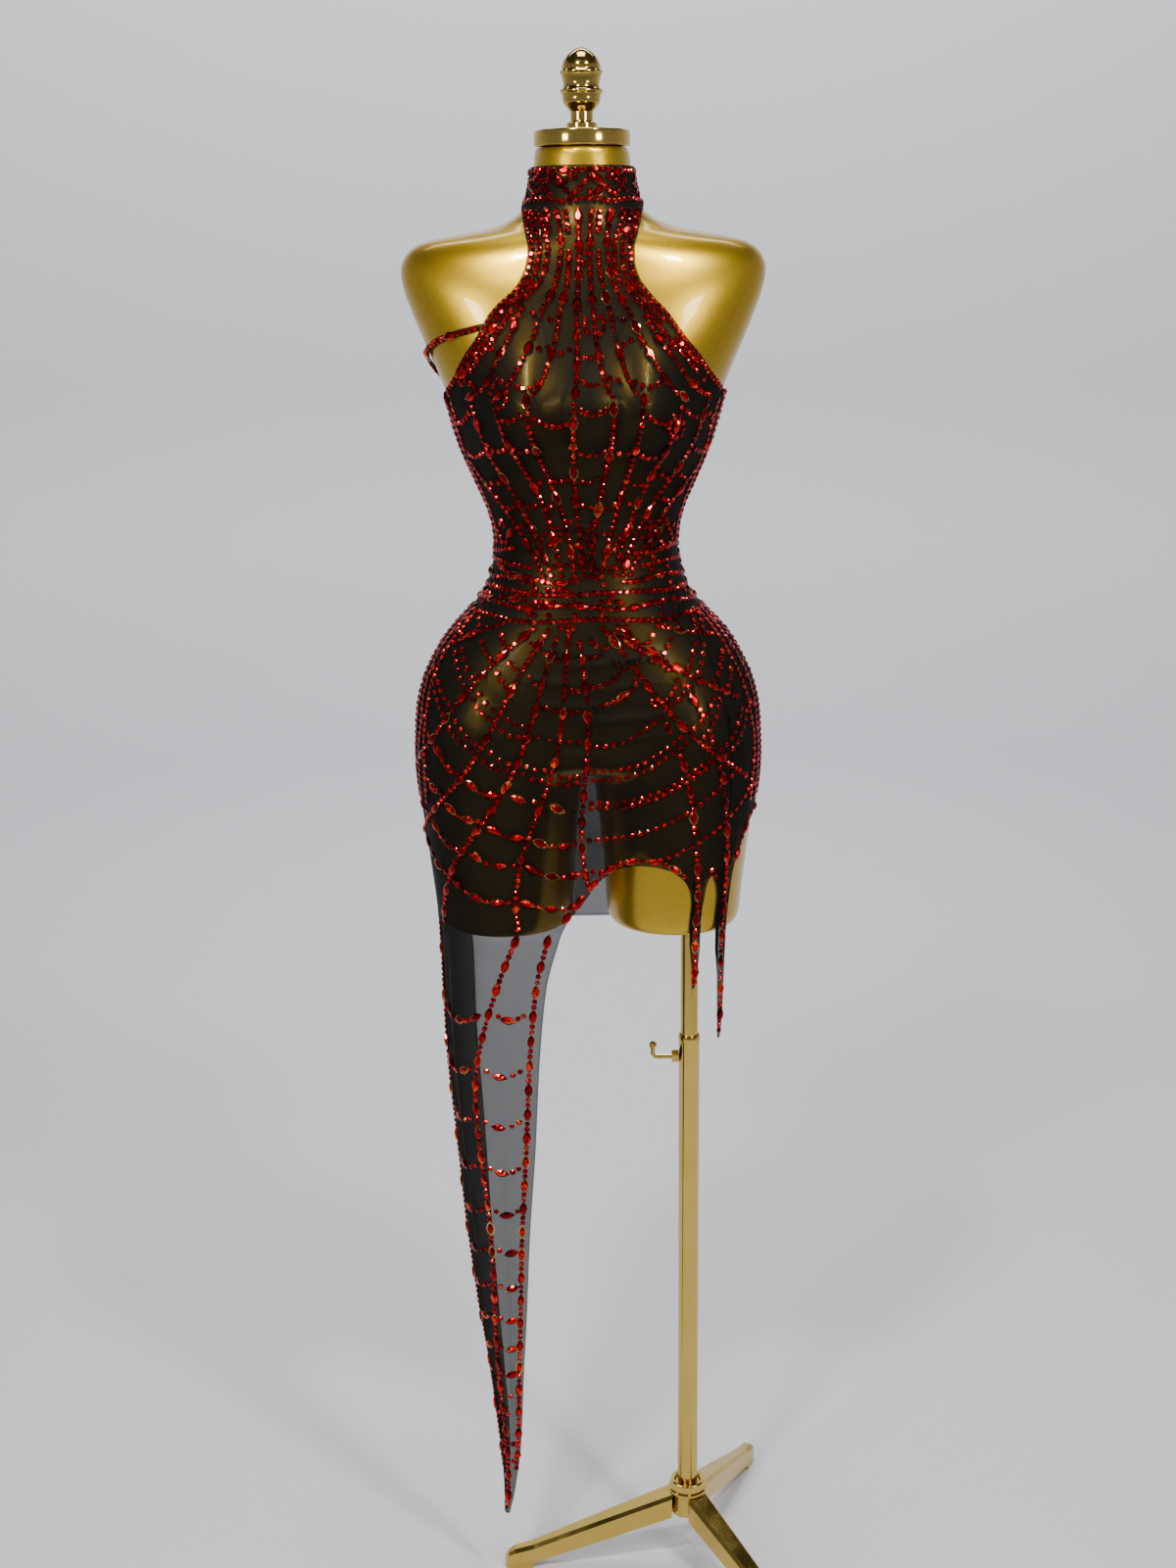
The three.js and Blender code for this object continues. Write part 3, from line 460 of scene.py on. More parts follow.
def panel_side(back):
    """Length by height from the panel's middle to its side seam."""
    return HALF_LENGTH - SIDE_LENGTH if back else SIDE_LENGTH


def panel_columns(hem, tail_columns, back, widest):
    """Shares of the way from the wearer's right seam to the left one, each with its hem height:
    even across the tail, then along the hem's curve, then round to the left seam."""
    level = hem[:, 1] if back else np.maximum(hem[:, 1], DRIP_LEVEL)
    side = level_of(level, panel_side(back))
    share = (length_at_x(hem[:, 0], level, back) / side + 1) / 2
    share = np.maximum.accumulate(share + 1e-5 * np.arange(len(hem)))
    shares, heights = [np.linspace(0, share[0], tail_columns + 1)[:-1]], [np.full(tail_columns, TAIL_TOP)]
    curve = np.vstack([np.column_stack([share, hem[:, 1]]), [1.0, SIDE_HEM]])
    for low, high in zip(curve[:-1, 0], curve[1:, 0]):
        count = max(2, int(np.ceil((high - low) * 2 * side.mean() / widest)))
        shares.append(np.linspace(low, high, count + 1)[:-1])
        heights.append(read_table(curve, shares[-1])[:, 0])
    return np.append(np.concatenate(shares), 1.0), np.append(np.concatenate(heights), SIDE_HEM)


# %% Rows of a panel
def panel_grid(back, shares, hem_heights, body_rows):
    """(length round, height) of every grid point of a panel: rows of the neck, rows between the
    armholes, and rows that each run a further part of the way down to the hem."""
    neck = np.linspace(NECK_TOP, NECK_SIDE, 14)[:, None]
    hole = UNDERARM + (ARMHOLES[0, 0] - UNDERARM) * np.linspace(1, 0, 64)[:-1] ** 1.4
    body = UNDERARM + (hem_heights - UNDERARM) * np.linspace(0, 1, body_rows + 1)[:, None] ** 1.2
    low, high = (length_at_x(x, hole, back)[:, None] for x in read_table(ARMHOLES, hole).T)
    to_neck, to_body = (level_of(z, panel_side(back)) - SEAM_GAP / 2 for z in (neck, body))
    across = 2 * shares - 1
    s = np.vstack([to_neck * across, low + (high - low) * shares, to_body * across])
    level = np.zeros(len(shares))
    return s, np.vstack([neck + level, hole[:, None] + level, body])


# %% [markdown]
# ## The tail
# Below the right thigh the front runs on as a long tail that narrows to a
# point. It hangs as one fold: the wide front layer is folded back at the
# wearer's side, and a narrow strip of the back hangs behind the fold. Each
# row of the tail is the row where it starts, drawn in between the fold and
# the free edge, with a few upright pleats where the doubled cloth gathers.

# %% Table of the tail
# height, fold x and y, free edge x and y, back strip's edge from the fold
TAIL = np.array([
    [868, -173, 0, -33, -86, 30, 60],
    [804, -167, -4, -50, -84, 29, 50],
    [717, -164, -9, -59, -80, 28, 40],
    [602, -155, -16, -66, -74, 26, 32],
    [483, -145, -24, -75, -68, 22, 24],
    [388, -134, -30, -80, -64, 17, 18],
    [291, -122, -37, -86, -60, 12, 12],
    [202, -113, -43, -91, -57, 8, 8],
    [134, -110, -47, -100, -54, 4, 5],
    [102, -110, -50, -107, -52, 2, 2.5],
])
TAIL_END, TAIL_ROWS = TAIL[-1, 0], 150
# height over which the pleats set in, height over which they fade to the point, share at the back
PLEAT_START, PLEAT_FADE, BACK_PLEATS = 60.0, 200.0, 0.4
# share from the fold to the free edge, height of the pleat, its width as a share
PLEATS = np.array([
    [0.10, 3.0, 0.035], [0.19, 2.4, 0.03], [0.30, 2.6, 0.04], [0.52, 1.4, 0.05], [0.74, 1.6, 0.05],
])


# %% Rows of the tail
def tail_grid(top_row, back):
    """Rows below the top one: fold + (edge - fold) * share, each way for itself, where share is
    how far a point of the top row has come from the fold to the edge."""
    z = np.linspace(TAIL_TOP, TAIL_END, TAIL_ROWS + 1)[1:, None]
    fold_x, fold_y, edge_x, edge_y, back_x, back_y = read_table(TAIL, z[:, 0]).T[:, :, None]
    if back:
        edge_x, edge_y = fold_x + back_x, fold_y + back_y
    share = (top_row[:, :2] - top_row[0, :2]) / (top_row[-1, :2] - top_row[0, :2])
    seam = SEAM_GAP / 2 if back else -SEAM_GAP / 2
    x = fold_x + (edge_x - fold_x) * share[:, 0]
    y = fold_y + seam + (edge_y - fold_y) * share[:, 1]
    return np.stack([x, y, np.broadcast_to(z, x.shape)], axis=-1)


# %% [markdown]
# ## Cloth with a thickness
# The mesh is one thin layer that is pulled over the form, so a panel is a
# surface that stands off the form by a small gap. Its creases are ridges along
# its normals, and Solidify lays the thickness on outwards. Each grid point
# keeps its place on the flat cut as its UV, which the mesh finish reads.


# %% Normals, areas and walls
def outward_normals(points, faces):
    """Sum of the face normals round each point, each as long as its face's area is large."""
    corner = points[faces]
    normal = np.cross(corner[:, 2] - corner[:, 0], corner[:, 3] - corner[:, 1])
    total = np.zeros_like(points)
    for k in range(4):
        np.add.at(total, faces[:, k], normal)
    return total / np.linalg.norm(total, axis=-1, keepdims=True)


def area_of(points, faces):
    """Area in square metres: half of the cross product of each face's diagonals, summed."""
    corner = points[faces] / 1000
    return float(0.5 * np.linalg.norm(
        np.cross(corner[:, 2] - corner[:, 0], corner[:, 3] - corner[:, 1]), axis=-1).sum())


def wall_of(obj):
    """The cloth's thickness, laid on outwards, and the cloth's place in the frame."""
    wall = obj.modifiers.new("wall", "SOLIDIFY")
    wall.thickness, wall.offset = CLOTH / 1000, 1.0
    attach(obj, "dressed_form")


# %% A panel with its tail
def make_panel(name, back, hem, tail_columns, creases, widest, body_rows):
    """A panel with its tail as a thin wall. Returns the object, its area, and the points and the
    normals of its tail."""
    shares, hem_heights = panel_columns(hem, tail_columns, back, widest)
    s, z = panel_grid(back, shares, hem_heights, body_rows)
    around = np.sign(s) * (level_of(z, HALF_LENGTH) - np.abs(s)) if back else s
    base, _ = on_cloth(around, z)
    rows, columns = s.shape
    index = np.arange(rows * columns).reshape(rows, columns)
    below = tail_grid(base[-1, : tail_columns + 1], back)
    tail_index = rows * columns + np.arange(below.shape[0] * below.shape[1]).reshape(below.shape[:2])
    tail_index = np.vstack([index[-1:, : tail_columns + 1], tail_index])
    faces = np.vstack([grid_faces(index), grid_faces(tail_index)])
    if back:
        faces = faces[:, ::-1]
    points = np.vstack([base.reshape(-1, 3), below.reshape(-1, 3)])
    normals = outward_normals(points, faces)
    ridge = crease_height(s, z, creases).ravel()
    down = np.clip((TAIL_TOP - below[..., 2]) / PLEAT_START, 0, 1)
    thin = np.clip((below[..., 2] - TAIL_END) / PLEAT_FADE, 0.15, 1)
    share = np.linspace(0, 1, tail_columns + 1) + 0.02 * np.sin(below[..., 2] / 90)
    pleat = sum(rise * np.exp(-(((share - at) / width) ** 2)) for at, rise, width in PLEATS)
    ridge = np.concatenate([ridge, (pleat * down * thin * (BACK_PLEATS if back else 1.0)).ravel()])
    outer = points + normals * (CLEARANCE + ridge)[:, None]
    flat = np.concatenate([np.stack([s, z], -1).reshape(-1, 2), below[..., ::2].reshape(-1, 2)]) / 1000
    obj = make_piece(name, outer, faces, uv=flat)
    wall_of(obj)
    area = area_of(outer, faces)
    print(name, len(faces), "faces, area", round(area, 3), "m2")
    return obj, area, (outer[tail_index], normals[tail_index])


# %% Front and back panels
# widest column and number of rows: the front's are finer, for its drips and creases
front, front_area, front_tail = make_panel("dress_front", False, FRONT_HEM, 40, FRONT_CREASES, 3.2, 170)
back, back_area, _ = make_panel("dress_back", True, BACK_HEM, 12, BACK_CREASES, 4.5, 150)
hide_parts("front_panel")
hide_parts("back_panel")

# %% [markdown]
# ## The arm strap
# A narrow strap leaves the front armhole, runs round the outside of the
# shoulder where an upper arm would start, and comes back to the armhole
# behind. It is made on the same surface as the panels, so that it lies on it.

# %% Arm strap
STRAP_WIDTH, STRAP_GAP, STRAP_CROWN = 8.0, 0.8, 0.6
# share of the way from front to back, height
STRAP_PATH = np.array([
    [0, 1531], [0.2, 1519], [0.4, 1503], [0.5, 1493], [0.6, 1485], [0.8, 1478], [1, 1480],
])


def strap_course(along, up):
    """(length round, height) at a share of the strap's way, up from its middle line."""
    z = read_table(STRAP_PATH, along)[..., 0] + up
    edge = read_table(ARMHOLES, z)[..., 0]
    start, end = (length_at_x(edge, z, back_face) - STRAP_GAP for back_face in (False, True))
    return start * (1 - along) - (level_of(z, HALF_LENGTH) + end) * along, z


along, up = np.meshgrid(np.linspace(0, 1, 90), np.linspace(0.5, -0.5, 7) * STRAP_WIDTH, indexing="ij")
strap_s, strap_z = strap_course(along, up)
crown = STRAP_CROWN * (1 - (2 * up / STRAP_WIDTH) ** 2)
strap_points, _ = on_cloth(strap_s, strap_z, CLEARANCE + crown)
strap_faces = grid_faces(np.arange(strap_s.size).reshape(strap_s.shape))[:, ::-1]
strap_flat = np.stack([strap_s, strap_z], axis=-1).reshape(-1, 2) / 1000
strap = make_piece("strap", strap_points.reshape(-1, 3), strap_faces, uv=strap_flat)
wall_of(strap)
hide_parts("arm_strap")
print("strap:", len(strap_faces), "faces")

# %% [markdown]
# ## Turned brass
# The neck plate, the finial, the tubes and the foot collar are turned on a
# lathe, so each is a profile of radius and height swept round its axis. The
# profile's own rows are the edges that the tool leaves, and a curve between
# them gives the finial its waist and its dome.


# %% Turned pieces
SHARP_EDGE = 35


def turn(profile, centre_x, sides=72):
    """Points (r cos a + centre, r sin a, height) for each row of the profile and each angle."""
    angle = np.linspace(0, 2 * np.pi, sides + 1)[:-1]
    radius, height = np.asarray(profile, dtype=float).T
    points = np.stack([
        centre_x + radius[:, None] * np.cos(angle),
        radius[:, None] * np.sin(angle),
        np.repeat(height[:, None], sides, axis=1),
    ], axis=-1)
    return points.reshape(-1, 3), tube_faces(len(radius), sides)


def turned(name, profile, centre_x, body, node, sides=72):
    """A brass piece turned about an axis, smooth except at edges sharper than SHARP_EDGE degrees."""
    obj = make_piece(name, *turn(profile, centre_x, sides))
    obj.data.set_sharp_from_angle(angle=math.radians(SHARP_EDGE))
    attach(obj, body)
    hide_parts(node)
    return obj


# %% Neck plate and finial
PLATE_THICKNESS, FIT = 16.5, 0.3
low = FORM_TOP + FIT
high = low + PLATE_THICKNESS
plate = turned("plate", [
    [1, low], [49.2, low], [50.2, low + 0.4], [50.8, low + 1.1], [51, low + 2], [51, high - 2],
    [50.8, high - 1.1], [50.2, high - 0.4], [49.2, high], [20, high], [1, high],
], 0.0, "dressed_form", "neck_plate", 96)
# height, radius: foot ring, neck, belly, two sharp collars with a waist between them, dome
FINIAL = np.array([
    [0, 15], [0.8, 16], [6.8, 16], [7.6, 15.2], [8.2, 12.4], [9.5, 12], [18, 12], [19.2, 12.6],
    [24, 17], [29, 19.8], [33, 20.2], [36.4, 21], [38.3, 22.8], [39.1, 22.8], [42.6, 19.8],
    [46, 19.2], [50, 19.8], [55.6, 21.6], [57.2, 22.9], [58, 22.9], [60, 21], [64, 20.4],
    [69, 18.6], [74, 15.1], [78, 10.4], [80.6, 5.8], [81.8, 2], [82, 1],
])
finial_up = np.sort(np.concatenate([np.linspace(0, FINIAL[-1, 0], 100), FINIAL[:, 0]]))
finial_up = finial_up[np.concatenate([[True], np.diff(finial_up) > 0.05])]
finial_profile = np.column_stack([read_table(FINIAL, finial_up)[:, 0], high + FIT + finial_up])
finial = turned("finial_knob", finial_profile, 0.0, "dressed_form", "finial", 96)
print("top of the finial, in mm:", round(float(finial_profile[-1, 1]), 1))

# %% Tubes and foot collar
upper = turned("inner_tube", [[10.25, 392], [10.25, 1000]], POLE_X, "mast", "upper_tube")
lower = turned("outer_tube", [
    [12.5, 74], [12.5, 704], [12.9, 704.6], [12.9, 710.8], [12.5, 712], [11.4, 712], [11.1, 711.6],
    [10.9, 706], [10.9, 400],
], POLE_X, "base", "lower_tube")
hub = turned("foot_collar", [
    [1, 66], [19.5, 66], [20.9, 66.6], [21.5, 68], [21.5, 95.6], [22, 96.4], [24, 96.6], [24.5, 97.2],
    [24.5, 99.6], [24, 100.4], [22, 100.9], [21.5, 101.8], [21.5, 109.2], [21, 110.4], [19.8, 111],
    [17.2, 111], [16.4, 110.4], [14.4, 107.2], [12.9, 107],
], POLE_X, "base", "hub")
for obj in (plate, finial, upper, lower, hub):
    print(obj.name, len(obj.data.polygons), "faces")

# %% [markdown]
# ## The web of stones
# The stones are flat-backed glass, round ones about 6 mm across and boat
# shaped ones in a thin metal setting, glued one by one along drawn lines. The
# layout here is a plain spider's web, a common motif, worked out from the
# dress's own cut: threads fan up and down from a knot at the waist, and short
# lines hang between them. Lines could be drawn by hand one after another, but
# loops give as many and keep their spacing. Stones are set along a line by
# length, and each is turned to the line and to the cloth under it.


# %% Edges that the stones stay inside
EDGE_INSET, ARMHOLE_INSET = 5.0, 4.0
DRIPS_START, PAST_SIDE = 910.0, 190.0
hem_without_drips = FRONT_HEM[(FRONT_HEM[:, 1] > DRIPS_START) | (FRONT_HEM[:, 0] < 0)]
LOW_EDGES = [np.vstack([hem, [PAST_SIDE, SIDE_HEM]]) for hem in (hem_without_drips, BACK_HEM)]


def on_dress(points):
    """True for each point that lies inside the hem and the armholes."""
    x, y, z = points.T
    hem = np.where(y < 0, *[np.interp(x, *edge.T) for edge in LOW_EDGES])
    right, left = read_table(ARMHOLES, z).T
    past_edge = (x < right + ARMHOLE_INSET) | (x > left - ARMHOLE_INSET)
    return (z > hem + EDGE_INSET) & ~(past_edge & (z > UNDERARM) & (z < NECK_SIDE))


# %% Stones along a line
GLUE = 0.1
STONE_LIFT = CLEARANCE + CLOTH + GLUE
ROUND, BOAT = 0, 1
PITCH = np.array([7.3, 18.0])
TIGHTEST, THREAD_GAP = 1.06, 4.5
# order of the stones, spare room beside each
PATTERNS = {
    "beads": ([ROUND], 0.0),
    "rows": ([ROUND], 2.4),
    "mixed": ([ROUND, ROUND, ROUND, ROUND, BOAT, ROUND, ROUND], 0.0),
    "boats": ([BOAT, ROUND, ROUND], 0.0),
    "dense boats": ([BOAT, ROUND], 0.0),
    "bars": ([ROUND, BOAT, ROUND], 0.0),
}
stones = []  # (places, normals, directions along the line, kinds) of one line after another
rng = np.random.default_rng(7)


def set_stones(points, normals, pattern, trim=True):
    """Stones along a line on the surface: the centre of each is where the pitches before it end,
    plus half of its own, stretched so that the last pitch ends with the line. Those outside the
    hem or in an armhole are left out."""
    order, spare = PATTERNS[pattern]
    steps = np.linalg.norm(np.diff(points, axis=0), axis=1)
    length = np.concatenate([[0], np.cumsum(steps)])
    kinds = np.resize(order, int(length[-1] / PITCH[ROUND]) + 2)
    rooms = PITCH[kinds] + spare
    fitting = int((np.cumsum(rooms) < TIGHTEST * length[-1]).sum())
    if fitting == 0:
        return
    kinds, rooms = kinds[:fitting], rooms[:fitting]
    centres = (np.cumsum(rooms) - rooms / 2) * length[-1] / rooms.sum()
    place, normal, along = (
        np.stack([np.interp(centres, length, column) for column in values.T], axis=-1)
        for values in (points, normals, np.gradient(points, axis=0)))
    inside = on_dress(place) if trim else np.ones(fitting, dtype=bool)
    stones.append([values[inside] for values in (place, normal, along, kinds)])


# %% [markdown]
# ## Kinds of lines
# Three kinds of lines make the whole web. A thread is any line over the cloth,
# a garland hangs between two threads, and a row goes round the body in waves
# or in straight stretches up and down. A garland stops a little short of its
# threads, so that no two stones are glued on one spot.


# %% Threads, garlands and rows
def lay(pattern, s, z, trim=True, lift=STONE_LIFT):
    """A line through lengths round from the centre front and heights."""
    set_stones(*on_cloth(s, z, lift), pattern, trim)


def lay_in_front(pattern, s, z):
    """The part of a line that lies on the front panel."""
    in_front = np.abs(s) < level_of(z, SIDE_LENGTH)
    if in_front.sum() > 2:
        lay(pattern, s[in_front], z[in_front])


def garland(pattern, start, end, sag):
    """A line from one (length round, height) to another that hangs below its chord by
    sag * sin(pi t), and stops short of the threads at both ends."""
    start, run = np.array(start), np.subtract(end, start)
    inset = min(THREAD_GAP / np.hypot(*run), 0.4)
    t = np.linspace(inset, 1 - inset, 60)
    s, z = (start + run * t[:, None]).T
    lay_in_front(pattern, s, z - sag * np.sin(np.pi * t))


def all_round(pattern, z, rise, waves, turn_by, reach=1.0, straight=False):
    """A row round the body at height z + rise * sin(waves * a + turn), a from -1 to 1 at the centre
    back, or in straight stretches up and down: the arc sine of that sine."""
    around = np.linspace(-reach, reach, 500 if straight else 400) * (1 - 1e-4)
    wave = np.sin(around * waves * np.pi + turn_by)
    height = z + rise * (2 / np.pi * np.arcsin(wave) if straight else wave)
    lay(pattern, around * level_of(height, HALF_LENGTH), height)


# %% [markdown]
# ## Stones at the edges
# Stones are densest where the cloth ends, because they hide the seam and hold
# the edge down. The collar has a row at its top, one at its foot and a lattice
# between. Three rows follow each armhole in front and one behind, and upright
# rows run down both sides.

# %% Collar
# height, rise of the wave, waves round half the body, turn of the wave, reach, straight
for pattern, *row in [
    ("mixed", 1687, 0.8, 5, 0.2), ("beads", 1657, 1.5, 7, 1.1),
    ("mixed", 1672, 11, 8, 0.0, 1.0, True), ("mixed", 1672, 11, 8, np.pi, 1.0, True),
]:
    all_round(pattern, *row)
print("lines on the collar:", len(stones))

# %% Armholes and sides
ARMHOLE_ROWS = [("beads", 4.5), ("mixed", 12.5), ("beads", 21.0)]
for side, edge in [(-1, 0), (1, 1)]:
    z = np.linspace(1646, 1466, 140)
    at_edge = read_table(ARMHOLES, z)[:, edge]
    for back_face, rows in [(False, ARMHOLE_ROWS), (True, ARMHOLE_ROWS[:1])]:
        for pattern, inset in rows:
            s = length_at_x(at_edge, z, back_face) - side * inset
            if back_face:
                s = side * (level_of(z, HALF_LENGTH) - np.abs(s))
            lay(pattern, s, z, trim=False)
SIDE_ROWS = [
    (1456, 1300, (0.98, 0.91, 0.83)),
    (1226, 1012, (0.98, 0.92, 0.86, 0.80)),
]
for top, bottom, shares in SIDE_ROWS:
    z = np.linspace(top, bottom, 200)
    for k, share in enumerate(shares):
        for side in (-1, 1):
            sway = 0.012 * np.sin(z / 31 + k + side)
            lay("beads", side * (share + sway) * level_of(z, SIDE_LENGTH), z)
print("lines so far:", len(stones))

# %% [markdown]
# ## The upper web
# Ten threads fan out from the waist to the collar. Each keeps its own share of
# the panel's width, which narrows at the neck and the waist, so the web fits
# the body without being drawn for it. Garlands hang between them at a dozen
# heights. Heights drawn at random a few millimetres apart make it look placed
# by hand, and a seed gives the same web every time.

# %% Threads of the upper web
right_edge, left_edge = read_table(ARMHOLES, HEIGHTS).T
beside_armholes = (HEIGHTS > UNDERARM) & (HEIGHTS < NECK_SIDE)
PANEL_RIGHT, PANEL_LEFT = (
    np.where(beside_armholes, np.abs(length_at_x(x, HEIGHTS, False)), SIDE_LENGTH)
    for x in (right_edge, left_edge))
UPPER_THREADS = np.array([-0.90, -0.66, -0.45, -0.27, -0.07, 0.13, 0.30, 0.52, 0.71, 0.92])
# height, how far out a thread lies there as a share of its own place
UPPER_SPREAD = np.array([
    [1652, 0.80], [1600, 0.94], [1540, 1.0], [1470, 1.0], [1400, 0.90], [1340, 0.68], [1290, 0.46],
    [1262, 0.34],
])


def upper_thread(k, z):
    """Length round of a thread at height z: share * spread * half width of the panel, with a slow
    sway."""
    share = UPPER_THREADS[k] * read_table(UPPER_SPREAD, z)[..., 0] + 0.018 * np.sin(z / 38.0 + 1.7 * k)
    return share * np.where(share < 0, level_of(z, PANEL_RIGHT), level_of(z, PANEL_LEFT))


z = np.linspace(1648, 1268, 260)
for k in range(len(UPPER_THREADS)):
    lay("boats" if k % 3 == 1 else "mixed", upper_thread(k, z), z)

# %% Garlands of the upper web
UPPER_RINGS = [1634, 1617, 1598, 1574, 1546, 1514, 1480, 1446, 1412, 1380, 1352, 1326]
for ring_number, z in enumerate(UPPER_RINGS):
    for k in range(len(UPPER_THREADS) - 1):
        low, high = z + rng.normal(0, 5, 2)
        if (k + 2 * ring_number) % 4 == 3:
            continue
        ends = [(float(upper_thread(j, h)), h) for j, h in ((k, low), (k + 1, high))]
        sag = 4 + 0.12 * (ends[1][0] - ends[0][0])
        garland("beads" if (k + ring_number) % 3 else "mixed", *ends, sag)
circle = np.linspace(0, 2 * np.pi, 60)
for k, z, radius in [(2, 1462, 11), (7, 1430, 12), (5, 1532, 10)]:
    lay("beads", upper_thread(k, z) + radius * np.cos(circle), z + radius * np.sin(circle))
print("lines so far:", len(stones))

# %% [markdown]
# ## The waist and its knot
# All threads meet at the waist, which is where the stones are thickest. Six
# rows go right round it and a lattice lies above them. The knot itself is a
# field of stones on a grid, each moved a little, that thins out towards its
# edge.

# %% Waist rows
for pattern, z, rise, waves, turn_by in [
    ("mixed", 1296, 3.0, 6, 0.4), ("beads", 1281, 2.0, 5, 2.0), ("mixed", 1266, 2.5, 7, 1.0),
    ("beads", 1252, 1.5, 4, 0.3), ("mixed", 1238, 2.5, 6, 2.6), ("beads", 1224, 2.0, 5, 1.2),
]:
    all_round(pattern, z, rise, waves, turn_by)
for turn_by in (0.6, 0.6 + np.pi):
    all_round("mixed", 1313, 15, 13, turn_by, 0.52, True)

# %% The knot
KNOT = np.array([-14.0, 1250.0])
KNOT_WIDE, KNOT_HIGH = 62.0, 34.0
KNOT_PITCH, KNOT_ROW, KNOT_JITTER = 7.2, 6.6, 0.8
knot_s, knot_z = np.meshgrid(np.arange(-68, 69, KNOT_PITCH), np.arange(-40, 41, KNOT_ROW), indexing="ij")
every_other = np.where(np.arange(knot_z.shape[1]) % 2, KNOT_PITCH / 2, 0.0)
knot_s = knot_s + every_other + rng.normal(0, KNOT_JITTER, knot_z.shape)
knot_z = knot_z + rng.normal(0, KNOT_JITTER, knot_z.shape)
spread = (knot_s / KNOT_WIDE) ** 2 + (knot_z / KNOT_HIGH) ** 2
dense = (spread < 1) & (rng.random(knot_s.shape) < 1.15 - 0.6 * spread)
place, normal = on_cloth(KNOT[0] + knot_s[dense], KNOT[1] + knot_z[dense], STONE_LIFT + 0.5)
along = np.column_stack([np.cos(knot_z[dense]), 0 * place[:, 0], np.sin(knot_z[dense])])
stones.append([place, normal, along, np.where(rng.random(len(place)) < 0.14, BOAT, ROUND)])
print("stones in the knot:", len(place))

# %% [markdown]
# ## The skirt's web
# Below the waist the threads run out from the knot like spokes, and garlands
# tie them at growing distances. A place is given by its distance from the knot
# and its angle from straight down, on the flat cloth, and the table of the
# cloth bends it over the hips.

# %% Threads and garlands of the skirt
SKIRT_THREADS = np.radians([-108, -86, -66, -49, -35, -22, -9, 4, 42, 57, 72, 90, 110])
THREAD_REACH = np.array([210, 225, 250, 330, 420, 420, 420, 420, 330, 260, 235, 220, 205])
# radius, stones towards the wearer's right, stones towards the left
SKIRT_RINGS = [
    (64, "mixed", "mixed"), (94, "mixed", "beads"), (118, "mixed", "mixed"), (146, "rows", "mixed"),
    (157, "rows", "rows"), (188, "rows", "rows"), (199, "rows", "rows"), (228, "dense boats", "rows"),
    (239, None, "rows"), (268, "dense boats", "rows"), (306, "dense boats", "rows"),
    (344, "dense boats", None),
]


def skirt_place(angle, radius):
    """(length round, height) at a radius from the knot, at an angle from straight down."""
    bend = 0.05 * np.sin(radius / 60.0 + 3 * angle)
    return KNOT[0] + radius * np.sin(angle + bend), KNOT[1] - radius * np.cos(angle + bend)


for k, (angle, reach) in enumerate(zip(SKIRT_THREADS, THREAD_REACH)):
    lay_in_front("boats" if k % 2 else "mixed", *skirt_place(angle, np.linspace(28, reach, 200)))
for ring_number, (radius, to_right, to_left) in enumerate(SKIRT_RINGS):
    for k in range(len(SKIRT_THREADS) - 1):
        pattern = to_right if SKIRT_THREADS[k] < -0.1 else to_left
        low, high = radius + rng.normal(0, 3, 2)
        short = radius > min(THREAD_REACH[k], THREAD_REACH[k + 1])
        if pattern is None or short or (pattern == "mixed" and (k + ring_number) % 4 == 2):
            continue
        start, end = skirt_place(SKIRT_THREADS[k], low), skirt_place(SKIRT_THREADS[k + 1], high)
        garland(pattern, start, end, 3 + 0.10 * np.hypot(end[0] - start[0], end[1] - start[1]))
print("lines so far:", len(stones))

# %% [markdown]
# ## Hem and drips
# A chain follows the front hem, and one runs down the middle of each narrow
# drip from the knot. Their way is told by a few points of x and height, and a
# smooth curve through the points does the rest.


# %% Smooth lines
def smooth_line(knots, count):
    """Catmull-Rom curve through the knots: each stretch leaves a knot along the line from the knot
    before to the knot after."""
    padded = np.vstack([2 * knots[0] - knots[1], knots, 2 * knots[-1] - knots[-2]])
    t = np.linspace(0, len(knots) - 1, count)
    i = np.minimum(t.astype(int), len(knots) - 2)
    f = (t - i)[:, None]
    a, b, c, d = padded[i], padded[i + 1], padded[i + 2], padded[i + 3]
    bend, turn_back = 2 * a - 5 * b + 4 * c - d, 3 * b - a - 3 * c + d
    return 0.5 * (2 * b + (c - a) * f + bend * f**2 + turn_back * f**3)


def hanging(x, z):
    """Length round of points of the front at x and height z. Below the hem's columns a drip hangs
    by its share of the panel's width."""
    level = np.maximum(z, DRIP_LEVEL)
    return length_at_x(x, level, False) / level_of(level, SIDE_LENGTH) * level_of(z, SIDE_LENGTH)


# %% Lines of the drips and the hem
# x and height of points from the knot down the middle of each drip
DRIP_LINES = np.array([
    [[-10, 1216], [60, 1150], [104, 1064], [118, 960], [119.6, 903], [119.2, 872], [118.8, 826],
     [117.6, 806]],
    [[12, 1222], [100, 1156], [140, 1070], [151, 980], [149, 903], [148.5, 850], [147.8, 780],
     [146.2, 742]],
])
for knots in DRIP_LINES:
    x, z = knots.T
    lay("boats", *smooth_line(np.column_stack([hanging(x, z), z]), 400).T, trim=False)
for x_from, x_to, pattern in [(-30, 106, "dense boats"), (129, 140, "beads"), (160, 186, "boats")]:
    x = np.linspace(x_from, x_to, 80)
    z = np.interp(x, *LOW_EDGES[0].T) + EDGE_INSET + 1.5
    lay(pattern, length_at_x(x, z, False), z, trim=False)
print("lines so far:", len(stones))

# %% [markdown]
# ## Stones on the tail and the strap
# The tail's lines run down the fold, down the free edge and between them,
# tied by scalloped bars that come closer together towards the point. A bar is
# given by shares of the tail's width, so that it narrows with the cloth.


